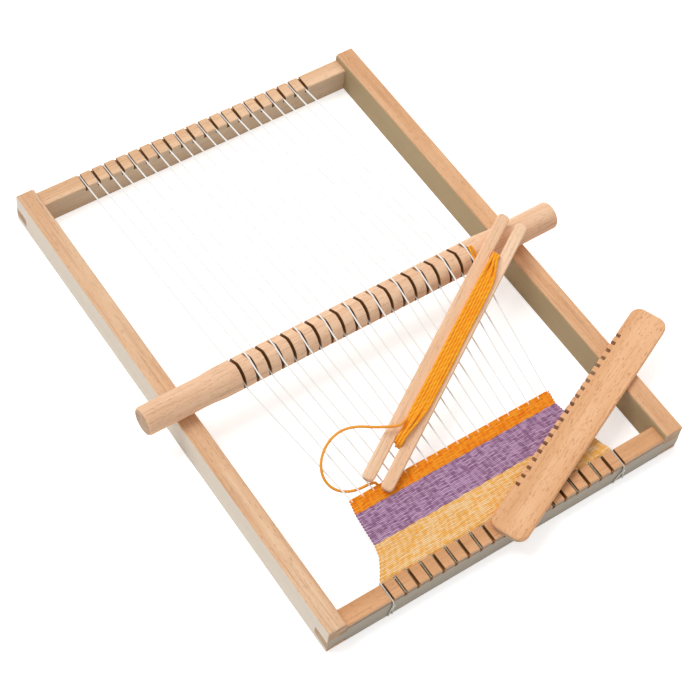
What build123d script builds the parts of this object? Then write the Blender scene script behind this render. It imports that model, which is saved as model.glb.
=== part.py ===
"""A small wooden frame loom with a turning notched heddle bar, a wound stick shuttle and a comb.

Millimetres. X runs along the beams, Y from the weaver's side to the back, Z up.
Places are written from the centre of the frame, on the surface that it lies on. Finished pieces
are moved so that the origin is the middle of the front beam's underside.
"""
from build123d import *
from math import atan2, cos, degrees, hypot, pi, radians, sin, tan
import os

# ---------------------------------------------------------------- driving dimensions
# frame
FRAME_LENGTH = 400.0        # rails, along Y
FRAME_WIDTH = 290.0         # over both rails, along X
RAIL_THICKNESS = 14.5
RAIL_HEIGHT = 25.5
RAIL_INNER_ROUND = 2.5      # hand round on the upper inner edge of each rail
RAIL_EASE = 0.8             # the other long edges
END_EASE = 0.4              # edges of the end grain
BEAM_DEPTH = 13.5
BEAM_HEIGHT = 20.0
BEAM_OUTER_ROUND = 1.5      # upper outer edge that the threads are drawn over
BEAM_EASE = 0.5
TONGUE_HEIGHT = 8.0         # end of a beam, in an open mortise through the rail
TONGUE_BOTTOM = 5.0

# pegs and slots
SLOT_COUNT = 20
SLOT_PITCH = 10.0
SLOT_WIDTH = 2.4
SLOT_FLOOR_INNER = 15.5     # the slot floors rise outwards
SLOT_FLOOR_OUTER = 17.0
KERF_TOP = 18.3             # saw kerf behind the pegs, which takes the turns of the warp
KERF_BOTTOM = 17.0
KERF_DEPTH = 1.8

# heddle bar
BAR_RADIUS = 11.2           # between the rails
BAR_END_RADIUS = 10.3       # turned down where the bar lies on the rails
BAR_STEP_X = 109.0          # from the middle of the slots to where the bar narrows
BAR_STEP_RUN = 11.0
BAR_LENGTH = 340.0
BAR_SHIFT_X = 2.0           # the bar lies a little to the right
BAR_FROM_FRONT = 172.8      # axis, from the front beam's inner face
BAR_REST_GAP = 0.1          # over the rails
BAR_END_ROUND = 2.5
BAR_SLOT_PAST_AXIS = 1.75
LOW_MOUTH = (6.9, 0.415)    # where a slot's floor slopes off, from the axis, and how steeply, so that
HIGH_MOUTH = (7.9, 0.5)     # the thread slides off the rim as the bar turns
MOUTH_REACH = 8.5           # past the axis
FLAT_LEAN = 33.0            # degrees between the flat's face and the level
FLAT_DISTANCE = 9.8         # from the axis
FLAT_MARGIN = 7.0           # past the outer slots
FLAT_RUNOUT = 22.0
SHED_TURN = 90.0            # degrees, from one shed to the other
CUT_PAST = 2.0              # cutters reach this far out of the bar

# warp
THREAD_DIAMETER = 0.8
THREAD_HUG = 0.7            # off the slot's middle, against the peg that a thread goes round
WARP_HEIGHT = 18.5          # above the surface, at both beams
LOW_RISE = 2.35             # thread in a slot, above the slot's floor, at the bar
RAISED_RISE = 0.45          # thread over the wood, above the bar, at the bar
TURN_RADIUS = 0.8
TURN_OUT = 12.35            # from the beam's inner face to the turn behind a peg
TURN_DROP = 0.8
SPAN_GAP_BACK = 0.1         # where the moving spans start
SPAN_GAP_FELL = 0.2
FAN_BEND = 13.0             # before the bar, where the fanned threads turn parallel
FAN_RADIUS = 30.0
LAP_BACK_REACH = 1.6        # half-round ends of the spans, past the crest of the low shed
LAP_FRONT_REACH = 2.4
LAP_GAP = 0.2
LAP_SPLIT = 0.02            # between the two half-round ends

# cloth
CLOTH_GAP = 1.5             # from the front beam's inner face to the first row
YELLOW_DEPTH = 23.7
PURPLE_DEPTH = 24.6
ORANGE_DEPTH = 11.2
CLOTH_TOP = 19.6
CLOTH_BOTTOM = 17.4
FELL_FIRST_X = -77.0
FELL_PITCH = 8.59
SELVEDGE_ORANGE = ((-77.8, 87.1), (-80.2, 85.0))       # left and right X, fell to stripe's end
SELVEDGE_PURPLE = ((-80.2, 85.0), (-81.3, 87.2), (-82.2, 89.1))
SELVEDGE_YELLOW = ((-82.2, 89.1), (-84.4, 90.4), (-89.6, 92.4), (-95.8, 95.8))

# ends of the warp, tied at the outer front slots
END_FACE_GAP = 0.25
END_BEND = 1.0
KNOT_DIAMETER = 2.2
KNOT_GAP = 0.1
KNOT_Z = 13.4
LEG_FOOT_Z = 1.0
LEFT_LEGS = (-2.2, 0.9)     # sideways reach of the two loose ends
RIGHT_LEGS = (-5.6, 2.6)

# shuttle and its yarn
SHUTTLE_LENGTH = 227.0
SHUTTLE_WIDTH = 22.8
SHUTTLE_THICKNESS = 4.0
SHUTTLE_MID = (37.85, 115.9)                           # Y from the front beam's inner face
SHUTTLE_HEADING = 30.4      # degrees from X
SHUTTLE_SLOPE = 0.248       # rise per length towards the back
SHUTTLE_REST_Z = 51.3       # underside, over the bar's axis
FORK_GAP = 5.4
FORK_CROTCH = 75.0          # from the middle of the shuttle
TIP_ROUND = 3.6
CROTCH_SHY = 0.05           # keeps a sliver of straight edge at the bottom of each fork
SHUTTLE_EASE = 0.9
YARN_DIAMETER = 1.4
YARN_PITCH = 1.9            # between neighbouring strands on the faces
WIND_AIR = 0.1              # first layer over the wood
WIND_LAYER = 1.87           # second layer over the first, and side by side in the fork
WIND_MID = (2.3, 0.4, -1.5, -3.4, -5.3, -7.2)          # strands across the faces
WIND_FORK = (1, 1, 0, 0, -1, -1)                       # column of each strand in the fork
WIND_OUTER = (True, False, False, True, False, True)   # which strands turn in the outer layer
WIND_TURN = 76.3            # middle of the half turns
WIND_START = 58.0
WIND_END = 30.0             # the last strand ends under the shuttle, before the step
WIND_SHIFT = 20.0           # half length of the sideways step on the lower face
FAN_STATIONS = (2.0, 8.0, 10.0, 15.0)                  # from the half turn inwards
FAN_ROUND = 3.2
TAIL_START = 3.0            # straight stretch of the weft as it leaves the winding
TAIL_LIFT = ((-65.5, 3.2, 5.2), (-71.5, 4.8, 8.0))     # over the fork, in the shuttle's own frame
TAIL_SWAY = (               # X, Y from the edge of the cloth, Z
    (-33.5, 24.0, 39.3),
    (-42.0, 28.1, 40.3),
    (-50.5, 34.1, 40.4),
    (-59.5, 37.4, 39.6),
    (-68.0, 37.3, 37.6),
    (-76.0, 34.3, 34.4),
    (-82.5, 28.9, 30.0),
    (-85.4, 22.1, 25.0),
    (-84.2, 15.7, 20.2),
    (-79.8, 10.3, 17.0),
    (-73.2, 6.5, 15.8),
    (-66.2, 4.7, 16.0),
    (-60.2, 4.1, 17.0),
    (-56.2, 2.9, 18.1),
    (-55.5, 1.3, 18.5),
    (-55.5, 0.0, 18.5),
)
HOOK_X = (96.4, 98.8)       # the two strands of the yarn's doubled first end
HOOK_SPLAY = 0.2            # sideways, per point of the route
HOOK_START = -12.9          # under the shuttle, from the bar's axis
HOOK_DROP = 2.0             # straight stretch under the shuttle
HOOK_SAG = ((-7.9, 46.0), (-3.7, 48.3), (-0.9, 48.7))  # Y from the bar's axis, Z
SAMPLE = 1.0                # spacing of the points for the winding's least gap
ALONG_APART = 6.5           # points nearer than this along the yarn are the same bend
CELL = 4.0                  # side of the cells that the points are sorted into

# comb
COMB_LENGTH = 207.4
COMB_WIDTH = 27.0
COMB_THICKNESS = 5.0
COMB_MID = (87.7, 26.2)     # Y from the front beam's inner face
COMB_HEADING = 23.2
COMB_SLOPE = 0.0362
COMB_MID_TOP = 29.1
COMB_CORNER = 8.0
COMB_EASE = 0.9
NOTCH_COUNT = 20
NOTCH_PITCH = 7.44
NOTCH_WIDTH = 2.9
NOTCH_DEPTH = 3.6
NOTCH_FIRST = 73.3          # from the middle of the comb

# ---------------------------------------------------------------- worked out
HALF_LENGTH = FRAME_LENGTH / 2
HALF_WIDTH = FRAME_WIDTH / 2
INNER_X = HALF_WIDTH - RAIL_THICKNESS
INNER_Y = HALF_LENGTH - BEAM_DEPTH
FRONT_Y = -INNER_Y
CLOTH_START_Y = FRONT_Y + CLOTH_GAP
PURPLE_END_Y = CLOTH_START_Y + YELLOW_DEPTH
ORANGE_END_Y = PURPLE_END_Y + PURPLE_DEPTH
FELL_Y = ORANGE_END_Y + ORANGE_DEPTH
BAR_Y = FRONT_Y + BAR_FROM_FRONT
THREAD_RADIUS = THREAD_DIAMETER / 2
YARN_RADIUS = YARN_DIAMETER / 2
BAR_Z = RAIL_HEIGHT + BAR_REST_GAP + BAR_END_RADIUS
LOW_CREST_Z = BAR_Z - BAR_SLOT_PAST_AXIS + LOW_RISE
RAISED_CREST_Z = BAR_Z + BAR_RADIUS + RAISED_RISE
BACK_RUN = INNER_Y - BAR_Y
FRONT_RUN = BAR_Y - FELL_Y
BACK_REACH = hypot(BACK_RUN, LOW_CREST_Z - WARP_HEIGHT)
FRONT_REACH = hypot(FRONT_RUN, LOW_CREST_Z - WARP_HEIGHT)
FIRST_SLOT_X = -SLOT_PITCH * (SLOT_COUNT - 1) / 2
LAST_SLOT = SLOT_COUNT - 1
FRONT_BEAM_Y = -HALF_LENGTH + BEAM_DEPTH / 2
SAME = 0.01                 # places nearer than this are the same


def slot_x(index):
    """Middle of a slot, counted from the left."""
    return FIRST_SLOT_X + SLOT_PITCH * index


def back_thread_x(index):
    """A thread lies against the peg that it goes round at the back: even ones right, odd ones left."""
    return slot_x(index) + (THREAD_HUG if index % 2 == 0 else -THREAD_HUG)


def front_thread_x(index):
    """At the front the pairs are shifted by one, so the threads lie against the other walls."""
    return slot_x(index) - (THREAD_HUG if index % 2 == 0 else -THREAD_HUG)


def fell_x(index):
    """Place of a thread at the edge of the cloth."""
    return FELL_FIRST_X + FELL_PITCH * index


def finish(part, label):
    """Name a finished piece, place it from the middle of the front beam's underside, and write it."""
    placed = part.moved(Location((0, -FRONT_BEAM_Y, 0)))
    placed.label = label
    export_step(placed, f"parts/{label}.step")


os.makedirs("parts", exist_ok=True)

# ---------------------------------------------------------------- frame
for side, name in ((-1, "left_side_rail"), (1, "right_side_rail")):
    with BuildPart() as rail:
        with BuildSketch(Plane.XZ) as section:
            with Locations((side * (HALF_WIDTH - RAIL_THICKNESS / 2), RAIL_HEIGHT / 2)):
                Rectangle(RAIL_THICKNESS, RAIL_HEIGHT)
            top = section.vertices().group_by(Axis.Y)[-1].sort_by(Axis.X)
            inner = top[-1] if side < 0 else top[0]
            others = [v for v in section.vertices() if v != inner]
            fillet(inner, RAIL_INNER_ROUND)
            corners = [v for v in section.vertices() if any((v.center() - o.center()).length < SAME for o in others)]
            fillet(corners, RAIL_EASE)
        extrude(amount=HALF_LENGTH, both=True)
        ends = rail.faces().sort_by(Axis.Y)
        chamfer(ends[0].edges() + ends[-1].edges(), END_EASE)
        with Locations(*[(side * (HALF_WIDTH - RAIL_THICKNESS / 2), y, TONGUE_BOTTOM + TONGUE_HEIGHT / 2)
                         for y in (-HALF_LENGTH + BEAM_DEPTH / 2, HALF_LENGTH - BEAM_DEPTH / 2)]):
            Box(RAIL_THICKNESS, BEAM_DEPTH, TONGUE_HEIGHT, mode=Mode.SUBTRACT)
    finish(rail.part, name)

with BuildPart() as front_beam:
    with BuildSketch(Plane.YZ) as section:
        with Locations((-HALF_LENGTH + BEAM_DEPTH / 2, BEAM_HEIGHT / 2)):
            Rectangle(BEAM_DEPTH, BEAM_HEIGHT)
        arrises = section.vertices().group_by(Axis.Y)[-1].sort_by(Axis.X)
        fillet(arrises[0], BEAM_OUTER_ROUND)
        inner_arris = section.vertices().group_by(Axis.Y)[-1].sort_by(Axis.X)[-1]
        chamfer(inner_arris, BEAM_EASE)
    extrude(amount=INNER_X, both=True)
    with Locations((0, -HALF_LENGTH + BEAM_DEPTH / 2, TONGUE_BOTTOM + TONGUE_HEIGHT / 2)):
        Box(FRAME_WIDTH, BEAM_DEPTH, TONGUE_HEIGHT)
    with BuildSketch(Plane.YZ):
        with BuildLine():
            Polyline(
                (-INNER_Y, SLOT_FLOOR_INNER),
                (-HALF_LENGTH, SLOT_FLOOR_OUTER),
                (-HALF_LENGTH, BEAM_HEIGHT),
                (-INNER_Y, BEAM_HEIGHT),
                close=True,
            )
        make_face()
    slot = extrude(amount=SLOT_WIDTH / 2, both=True, mode=Mode.PRIVATE)
    with Locations(*[(slot_x(index), 0, 0) for index in range(SLOT_COUNT)]):
        add(slot, mode=Mode.SUBTRACT)
    with Locations((0, -HALF_LENGTH + KERF_DEPTH / 2, (KERF_TOP + KERF_BOTTOM) / 2)):
        Box(2 * INNER_X, KERF_DEPTH, KERF_TOP - KERF_BOTTOM, mode=Mode.SUBTRACT)
finish(front_beam.part, "front_beam")

with BuildPart() as back_beam:
    add(mirror(front_beam.part, about=Plane.XZ, mode=Mode.PRIVATE))
finish(back_beam.part, "back_beam")

# ---------------------------------------------------------------- heddle bar
FLAT_HALF = (SLOT_COUNT - 1) * SLOT_PITCH / 2 + FLAT_MARGIN
FLAT_NORMAL = (0, sin(radians(FLAT_LEAN)), cos(radians(FLAT_LEAN)))


def mouth_cutter(sketch_plane, mouth):
    """Wedge that slopes off the floor of a slot towards its rim."""
    start, slope = mouth
    end = start + slope * (MOUTH_REACH - BAR_SLOT_PAST_AXIS)
    rim = BAR_RADIUS + CUT_PAST
    with BuildSketch(sketch_plane) as wedge:
        with BuildLine():
            Polyline(
                (start, -BAR_SLOT_PAST_AXIS),
                (end, -MOUTH_REACH),
                (rim, -MOUTH_REACH),
                (rim, -BAR_SLOT_PAST_AXIS),
                close=True,
            )
        make_face()
    return extrude(wedge.sketch, amount=SLOT_WIDTH / 2, both=True, mode=Mode.PRIVATE)


with BuildPart() as heddle_bar:
    with BuildSketch(Plane(origin=(0, BAR_Y, BAR_Z), x_dir=(1, 0, 0), z_dir=(0, -1, 0))):
        with BuildLine():
            Polyline(
                (BAR_SHIFT_X - BAR_LENGTH / 2, 0),
                (BAR_SHIFT_X - BAR_LENGTH / 2, BAR_END_RADIUS),
                (-BAR_STEP_X - BAR_STEP_RUN, BAR_END_RADIUS),
                (-BAR_STEP_X, BAR_RADIUS),
                (BAR_STEP_X, BAR_RADIUS),
                (BAR_STEP_X + BAR_STEP_RUN, BAR_END_RADIUS),
                (BAR_SHIFT_X + BAR_LENGTH / 2, BAR_END_RADIUS),
                (BAR_SHIFT_X + BAR_LENGTH / 2, 0),
                close=True,
            )
        make_face()
    revolve(axis=Axis((0, BAR_Y, BAR_Z), (1, 0, 0)))
    bar_ends = heddle_bar.faces().sort_by(Axis.X)
    fillet(bar_ends[0].edges() + bar_ends[-1].edges(), BAR_END_ROUND)
    flat_side = Vector(*FLAT_NORMAL).cross(Vector(1, 0, 0))
    with BuildSketch(Plane(origin=(0, BAR_Y, BAR_Z), x_dir=(1, 0, 0), z_dir=-flat_side)):
        with BuildLine():
            Polyline(
                (-FLAT_HALF, FLAT_DISTANCE),
                (FLAT_HALF, FLAT_DISTANCE),
                (FLAT_HALF + FLAT_RUNOUT, BAR_RADIUS + CUT_PAST),
                (-FLAT_HALF - FLAT_RUNOUT, BAR_RADIUS + CUT_PAST),
                close=True,
            )
        make_face()
    extrude(amount=BAR_RADIUS, both=True, mode=Mode.SUBTRACT)
    cut = BAR_RADIUS + BAR_SLOT_PAST_AXIS + CUT_PAST
    middle = cut / 2 - BAR_SLOT_PAST_AXIS
    with Locations(*[(slot_x(index), BAR_Y, BAR_Z + middle) for index in range(0, SLOT_COUNT, 2)]):
        Box(SLOT_WIDTH, 2 * (BAR_RADIUS + CUT_PAST), cut, mode=Mode.SUBTRACT)
    with Locations(*[(slot_x(index), BAR_Y - middle, BAR_Z) for index in range(1, SLOT_COUNT, 2)]):
        Box(SLOT_WIDTH, cut, 2 * (BAR_RADIUS + CUT_PAST), mode=Mode.SUBTRACT)
    low_cutter = mouth_cutter(Plane(origin=(0, BAR_Y, BAR_Z), x_dir=(0, -1, 0), z_dir=(-1, 0, 0)), LOW_MOUTH)
    high_cutter = mouth_cutter(Plane(origin=(0, BAR_Y, BAR_Z), x_dir=(0, 0, 1), z_dir=(1, 0, 0)), HIGH_MOUTH)
    for index in range(SLOT_COUNT):
        with Locations((slot_x(index), 0, 0)):
            add(low_cutter if index % 2 == 0 else high_cutter, mode=Mode.SUBTRACT)
finish(heddle_bar.part, "heddle_bar")


# ---------------------------------------------------------------- warp
def half_round(plane, length, side):
    """Half-round end of a thread, on one side of the thread's middle."""
    with BuildSketch(plane) as half:
        Circle(THREAD_RADIUS)
        with Locations((-side * (THREAD_RADIUS - LAP_SPLIT / 2), 0)):
            Rectangle(THREAD_DIAMETER, THREAD_DIAMETER, mode=Mode.SUBTRACT)
    extrude(half.sketch, amount=length)


def back_spans(first, crest_z, label):
    """Every other thread from the back beam to the bar."""
    rise = crest_z - WARP_HEIGHT
    along = Vector(0, -BACK_RUN, rise).normalized()
    full = BACK_REACH - LAP_FRONT_REACH - LAP_GAP - SPAN_GAP_BACK
    tongue = LAP_FRONT_REACH + LAP_GAP + LAP_BACK_REACH
    with BuildPart() as spans:
        for index in range(first, SLOT_COUNT, 2):
            start = Vector(back_thread_x(index), INNER_Y, WARP_HEIGHT) + along * SPAN_GAP_BACK
            with BuildSketch(Plane(origin=start, x_dir=(1, 0, 0), z_dir=along)):
                Circle(THREAD_RADIUS)
            extrude(amount=full)
            half_round(Plane(origin=start + along * full, x_dir=(1, 0, 0), z_dir=along), tongue, -1)
    finish(spans.part, label)


def front_spans(first, crest_z, label):
    """Every other thread from the edge of the cloth to the bar, fanned out."""
    rise = crest_z - WARP_HEIGHT
    along = Vector(0, FRONT_RUN, rise).normalized()
    full = FRONT_REACH - LAP_BACK_REACH - LAP_GAP
    tongue = LAP_BACK_REACH + LAP_GAP + LAP_FRONT_REACH
    leaning = Plane(origin=(0, FELL_Y, WARP_HEIGHT), x_dir=(1, 0, 0), z_dir=Vector(1, 0, 0).cross(along))
    with BuildPart() as spans:
        for index in range(first, SLOT_COUNT, 2):
            x = back_thread_x(index)
            with BuildLine(leaning) as path:
                FilletPolyline(
                    (fell_x(index), SPAN_GAP_FELL),
                    (x, FRONT_REACH - FAN_BEND),
                    (x, full),
                    radius=FAN_RADIUS,
                )
            with BuildSketch(Plane(origin=path.line @ 0, z_dir=path.line % 0)):
                Circle(THREAD_RADIUS)
            sweep(path=path.line)
            lap = Plane(origin=Vector(x, FELL_Y, WARP_HEIGHT) + along * full, x_dir=(1, 0, 0), z_dir=along)
            half_round(lap, tongue, 1)
    finish(spans.part, label)


back_spans(0, LOW_CREST_Z, "warp_low_back")
front_spans(0, LOW_CREST_Z, "warp_low_front")
back_spans(1, RAISED_CREST_Z, "warp_high_back")
front_spans(1, RAISED_CREST_Z, "warp_high_front")


def turn_round_peg(left_x, right_x, start_y, side):
    """One turn of the warp: out along a slot, along the kerf behind a peg and back in."""
    turn_y = side * (INNER_Y + TURN_OUT)
    turn_z = WARP_HEIGHT - TURN_DROP
    with BuildLine() as path:
        FilletPolyline(
            (left_x, start_y, WARP_HEIGHT),
            (left_x, turn_y, turn_z),
            (right_x, turn_y, turn_z),
            (right_x, start_y, WARP_HEIGHT),
            radius=TURN_RADIUS,
        )
    with BuildSketch(Plane(origin=path.line @ 0, z_dir=path.line % 0)) as section:
        Circle(THREAD_RADIUS)
    sweep(section.sketch, path=path.line)


with BuildPart() as back_turns:
    for index in range(0, LAST_SLOT, 2):
        turn_round_peg(back_thread_x(index), back_thread_x(index + 1), INNER_Y, 1)
finish(back_turns.part, "warp_back_turns")

with BuildPart() as front_turns:
    for index in range(1, LAST_SLOT, 2):
        turn_round_peg(front_thread_x(index), front_thread_x(index + 1), CLOTH_START_Y - SPAN_GAP_BACK, -1)
finish(front_turns.part, "warp_front_turns")


def tied_end(index, legs, label):
    """Outer thread of the warp, drawn over the front beam and knotted on its face."""
    x = slot_x(index)
    face_y = -HALF_LENGTH - END_FACE_GAP - THREAD_RADIUS
    knot_y = -HALF_LENGTH - KNOT_GAP - KNOT_DIAMETER / 2
    with BuildPart() as end:
        with BuildLine() as path:
            FilletPolyline(
                (x, CLOTH_START_Y - SPAN_GAP_BACK, WARP_HEIGHT),
                (x, face_y, SLOT_FLOOR_OUTER + THREAD_DIAMETER),
                (x, face_y, KNOT_Z),
                radius=END_BEND,
            )
        with BuildSketch(Plane(origin=path.line @ 0, z_dir=path.line % 0)):
            Circle(THREAD_RADIUS)
        sweep(path=path.line)
        with Locations((x, knot_y, KNOT_Z)):
            Sphere(KNOT_DIAMETER / 2)
        for reach in legs:
            top = Vector(x, face_y, KNOT_Z)
            foot = Vector(x + reach, face_y, LEG_FOOT_Z)
            with BuildSketch(Plane(origin=top, z_dir=foot - top)):
                Circle(THREAD_RADIUS)
            extrude(amount=(foot - top).length)
    finish(end.part, label)


tied_end(0, LEFT_LEGS, "warp_end_left")
tied_end(LAST_SLOT, RIGHT_LEGS, "warp_end_right")


# ---------------------------------------------------------------- cloth
def stripe(from_y, to_y, edges, label):
    """One stripe of the cloth: its two edges at even steps from the fell towards the beam."""
    steps = len(edges) - 1
    left = [(edge[0], from_y + (to_y - from_y) * k / steps) for k, edge in enumerate(edges)]
    right = [(edge[1], from_y + (to_y - from_y) * k / steps) for k, edge in enumerate(edges)]
    with BuildPart() as cloth:
        with BuildSketch(Plane.XY.offset(CLOTH_BOTTOM)):
            with BuildLine():
                Polyline(*left, *reversed(right), close=True)
            make_face()
        extrude(amount=CLOTH_TOP - CLOTH_BOTTOM)
    finish(cloth.part, label)


stripe(FELL_Y, ORANGE_END_Y, SELVEDGE_ORANGE, "cloth_orange_stripe")
stripe(ORANGE_END_Y, PURPLE_END_Y, SELVEDGE_PURPLE, "cloth_purple_stripe")
stripe(PURPLE_END_Y, CLOTH_START_Y, SELVEDGE_YELLOW, "cloth_yellow_stripe")

# ---------------------------------------------------------------- shuttle
turned = radians(SHUTTLE_HEADING)
SHUTTLE_UP = Vector(0, -SHUTTLE_SLOPE, 1).normalized()
SHUTTLE_ALONG = Vector(cos(turned), sin(turned), SHUTTLE_SLOPE * sin(turned)).normalized()
SHUTTLE_MID_Y = FRONT_Y + SHUTTLE_MID[1]
SHUTTLE_UNDER = Vector(
    SHUTTLE_MID[0], SHUTTLE_MID_Y, SHUTTLE_REST_Z + SHUTTLE_SLOPE * (SHUTTLE_MID_Y - BAR_Y)
)
SHUTTLE_PLANE = Plane(
    origin=SHUTTLE_UNDER + SHUTTLE_UP * (SHUTTLE_THICKNESS / 2), x_dir=SHUTTLE_ALONG, z_dir=SHUTTLE_UP
)


def on_shuttle(along, across, up):
    """Point of the shuttle's own frame, in the whole loom's."""
    return SHUTTLE_PLANE.from_local_coords(Vector(along, across, up))


with BuildPart() as shuttle:
    with BuildSketch(SHUTTLE_PLANE.offset(-SHUTTLE_THICKNESS / 2)) as outline:
        Rectangle(SHUTTLE_LENGTH, SHUTTLE_WIDTH)
        fork_length = SHUTTLE_LENGTH / 2 - FORK_CROTCH
        for side in (-1, 1):
            with Locations((side * (FORK_CROTCH + fork_length / 2), 0)):
                Rectangle(fork_length, FORK_GAP, mode=Mode.SUBTRACT)
        tips = outline.vertices().group_by(Axis.X)
        fillet(tips[0] + tips[-1], TIP_ROUND)
        crotches = [v for v in outline.vertices() if abs(abs(v.X) - FORK_CROTCH) < SAME]
        fillet(crotches, FORK_GAP / 2 - CROTCH_SHY)
    extrude(amount=SHUTTLE_THICKNESS)
    faces = shuttle.faces().sort_by(Axis(SHUTTLE_PLANE.origin, SHUTTLE_UP))
    chamfer(faces[0].edges() + faces[-1].edges(), SHUTTLE_EASE)
finish(shuttle.part, "shuttle")

# winding: one strand, laid round the shuttle between its forks
LAYER_1 = SHUTTLE_THICKNESS / 2 + WIND_AIR + YARN_RADIUS
LAYER_2 = LAYER_1 + WIND_LAYER
STRANDS = len(WIND_MID)


def strand_height(index):
    """Height of a strand's half turns off the middle of the shuttle."""
    return LAYER_2 if WIND_OUTER[index] else LAYER_1


def fan_points(index, end, face):
    """Points of a strand from the half turn at one end towards the middle of the shuttle."""
    up = face * strand_height(index)
    column = WIND_FORK[index] * WIND_LAYER
    lane = WIND_MID[index]
    near, spread, drop, landed = [end * (WIND_TURN - s) for s in FAN_STATIONS]
    points = [(end * WIND_TURN, column, up), (near, column, up), (spread, lane, up)]
    if WIND_OUTER[index]:
        points += [(drop, lane, up), (landed, lane, face * LAYER_1)]
    return points


def lay_run(points):
    """One straight stretch of yarn along a face, with its bends rounded."""
    FilletPolyline(*[on_shuttle(*p) for p in points], radius=FAN_ROUND)


def lay_half_turn(index, end):
    """Yarn through a fork, from one face to the other."""
    up = strand_height(index)
    column = WIND_FORK[index] * WIND_LAYER
    ThreePointArc(
        on_shuttle(end * WIND_TURN, column, up),
        on_shuttle(end * (WIND_TURN + up), column, 0),
        on_shuttle(end * WIND_TURN, column, -up),
    )


with BuildPart() as winding:
    with BuildLine() as strand:
        lay_run([(-WIND_START, WIND_MID[0], LAYER_1)] + fan_points(0, 1, 1)[::-1])
        for index in range(STRANDS):
            lay_half_turn(index, 1)
            down = fan_points(index, 1, -1)
            if index < STRANDS - 1:
                step = [(WIND_SHIFT, WIND_MID[index], -LAYER_1), (-WIND_SHIFT, WIND_MID[index + 1], -LAYER_1)]
                lay_run(down + step + fan_points(index + 1, -1, -1)[::-1])
                lay_half_turn(index + 1, -1)
                lay_run(fan_points(index + 1, -1, 1) + fan_points(index + 1, 1, 1)[::-1])
            else:
                lay_run(down + [(WIND_END, WIND_MID[index], -LAYER_1)])
    wound = strand.wires()[0]
    with BuildSketch(Plane(origin=wound @ 0, z_dir=wound % 0)):
        Circle(YARN_RADIUS)
    sweep(path=wound)
finish(winding.part, "shuttle_winding")

count = int(wound.length / SAMPLE)
samples = [wound.position_at(k / count) for k in range(count + 1)]
spacing = wound.length / count
skip = int(ALONG_APART / spacing) + 1
cells = {}
least = wound.length
for k, p in enumerate(samples):
    cell = (int(p.X // CELL), int(p.Y // CELL), int(p.Z // CELL))
    for dx in (-1, 0, 1):
        for dy in (-1, 0, 1):
            for dz in (-1, 0, 1):
                for j, q in cells.get((cell[0] + dx, cell[1] + dy, cell[2] + dz), ()):
                    if k - j > skip:
                        least = min(least, (p - q).length)
    cells.setdefault(cell, []).append((k, p))
print(f"winding: length {wound.length:.1f}, least gap to itself {least - YARN_DIAMETER:.2f}")
wound_volume = wound.length * pi * YARN_RADIUS ** 2
print(f"winding: volume {winding.part.volume:.1f}, section x length {wound_volume:.1f}")

# weft from the winding round the outer warp thread into the edge of the cloth
TAIL_ROUTE = [
    on_shuttle(-WIND_START, WIND_MID[0], LAYER_1),
    on_shuttle(-WIND_START - TAIL_START, WIND_MID[0], LAYER_1),
]
TAIL_ROUTE += [on_shuttle(*point) for point in TAIL_LIFT]
TAIL_ROUTE += [Vector(x, FELL_Y + y, z) for x, y, z in TAIL_SWAY]


def bend_radii(points, share=0.45):
    """The largest even arcs that the runs beside each point allow."""
    radii = []
    for before, at, after in zip(points, points[1:], points[2:]):
        into = at - before
        out = after - at
        turn = radians(into.get_angle(out))
        radii.append(share * min(into.length, out.length) / tan(turn / 2))
    return radii


tail_radii = bend_radii(TAIL_ROUTE)
with BuildPart() as tail:
    with BuildLine() as path:
        FilletPolyline(*TAIL_ROUTE, radius=tail_radii)
    with BuildSketch(Plane(origin=path.line @ 0, z_dir=path.line % 0)):
        Circle(YARN_RADIUS)
    sweep(path=path.line)
finish(tail.part, "weft_tail")
print("weft tail: radii", [round(radius, 1) for radius in tail_radii])
tail_length = path.wires()[0].length
tail_volume = tail_length * pi * YARN_RADIUS ** 2
print(f"weft tail: length {tail_length:.1f}, volume {tail.part.volume:.1f}, section x length {tail_volume:.1f}")

# first end of the yarn, doubled under the shuttle and over the bar
def hook_leg(x):
    """One of the two strands, from the shuttle's lower face to the loop's end over the bar."""
    top = Vector(x, BAR_Y + HOOK_START, SHUTTLE_REST_Z + SHUTTLE_SLOPE * HOOK_START)
    over = [Vector(x + HOOK_SPLAY * (k + 1), BAR_Y + y, z) for k, (y, z) in enumerate(HOOK_SAG)]
    return [top, top - SHUTTLE_UP * HOOK_DROP] + over


HOOK_ROUTE = hook_leg(HOOK_X[0]) + hook_leg(HOOK_X[1])[::-1]
with BuildPart() as hook:
    with BuildLine() as path:
        FilletPolyline(*HOOK_ROUTE, radius=bend_radii(HOOK_ROUTE))
    with BuildSketch(Plane(origin=path.line @ 0, z_dir=path.line % 0)):
        Circle(YARN_RADIUS)
    sweep(path=path.line)
finish(hook.part, "yarn_end")
print("yarn end: radii", [round(radius, 1) for radius in bend_radii(HOOK_ROUTE)])

# ---------------------------------------------------------------- comb
comb_turned = radians(COMB_HEADING)
COMB_ALONG = Vector(cos(comb_turned), sin(comb_turned), COMB_SLOPE).normalized()
COMB_ACROSS = Vector(-sin(comb_turned), cos(comb_turned), 0)
COMB_TOP_PLANE = Plane(
    origin=(COMB_MID[0], FRONT_Y + COMB_MID[1], COMB_MID_TOP), x_dir=COMB_ALONG, z_dir=COMB_ALONG.cross(COMB_ACROSS)
)

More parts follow.
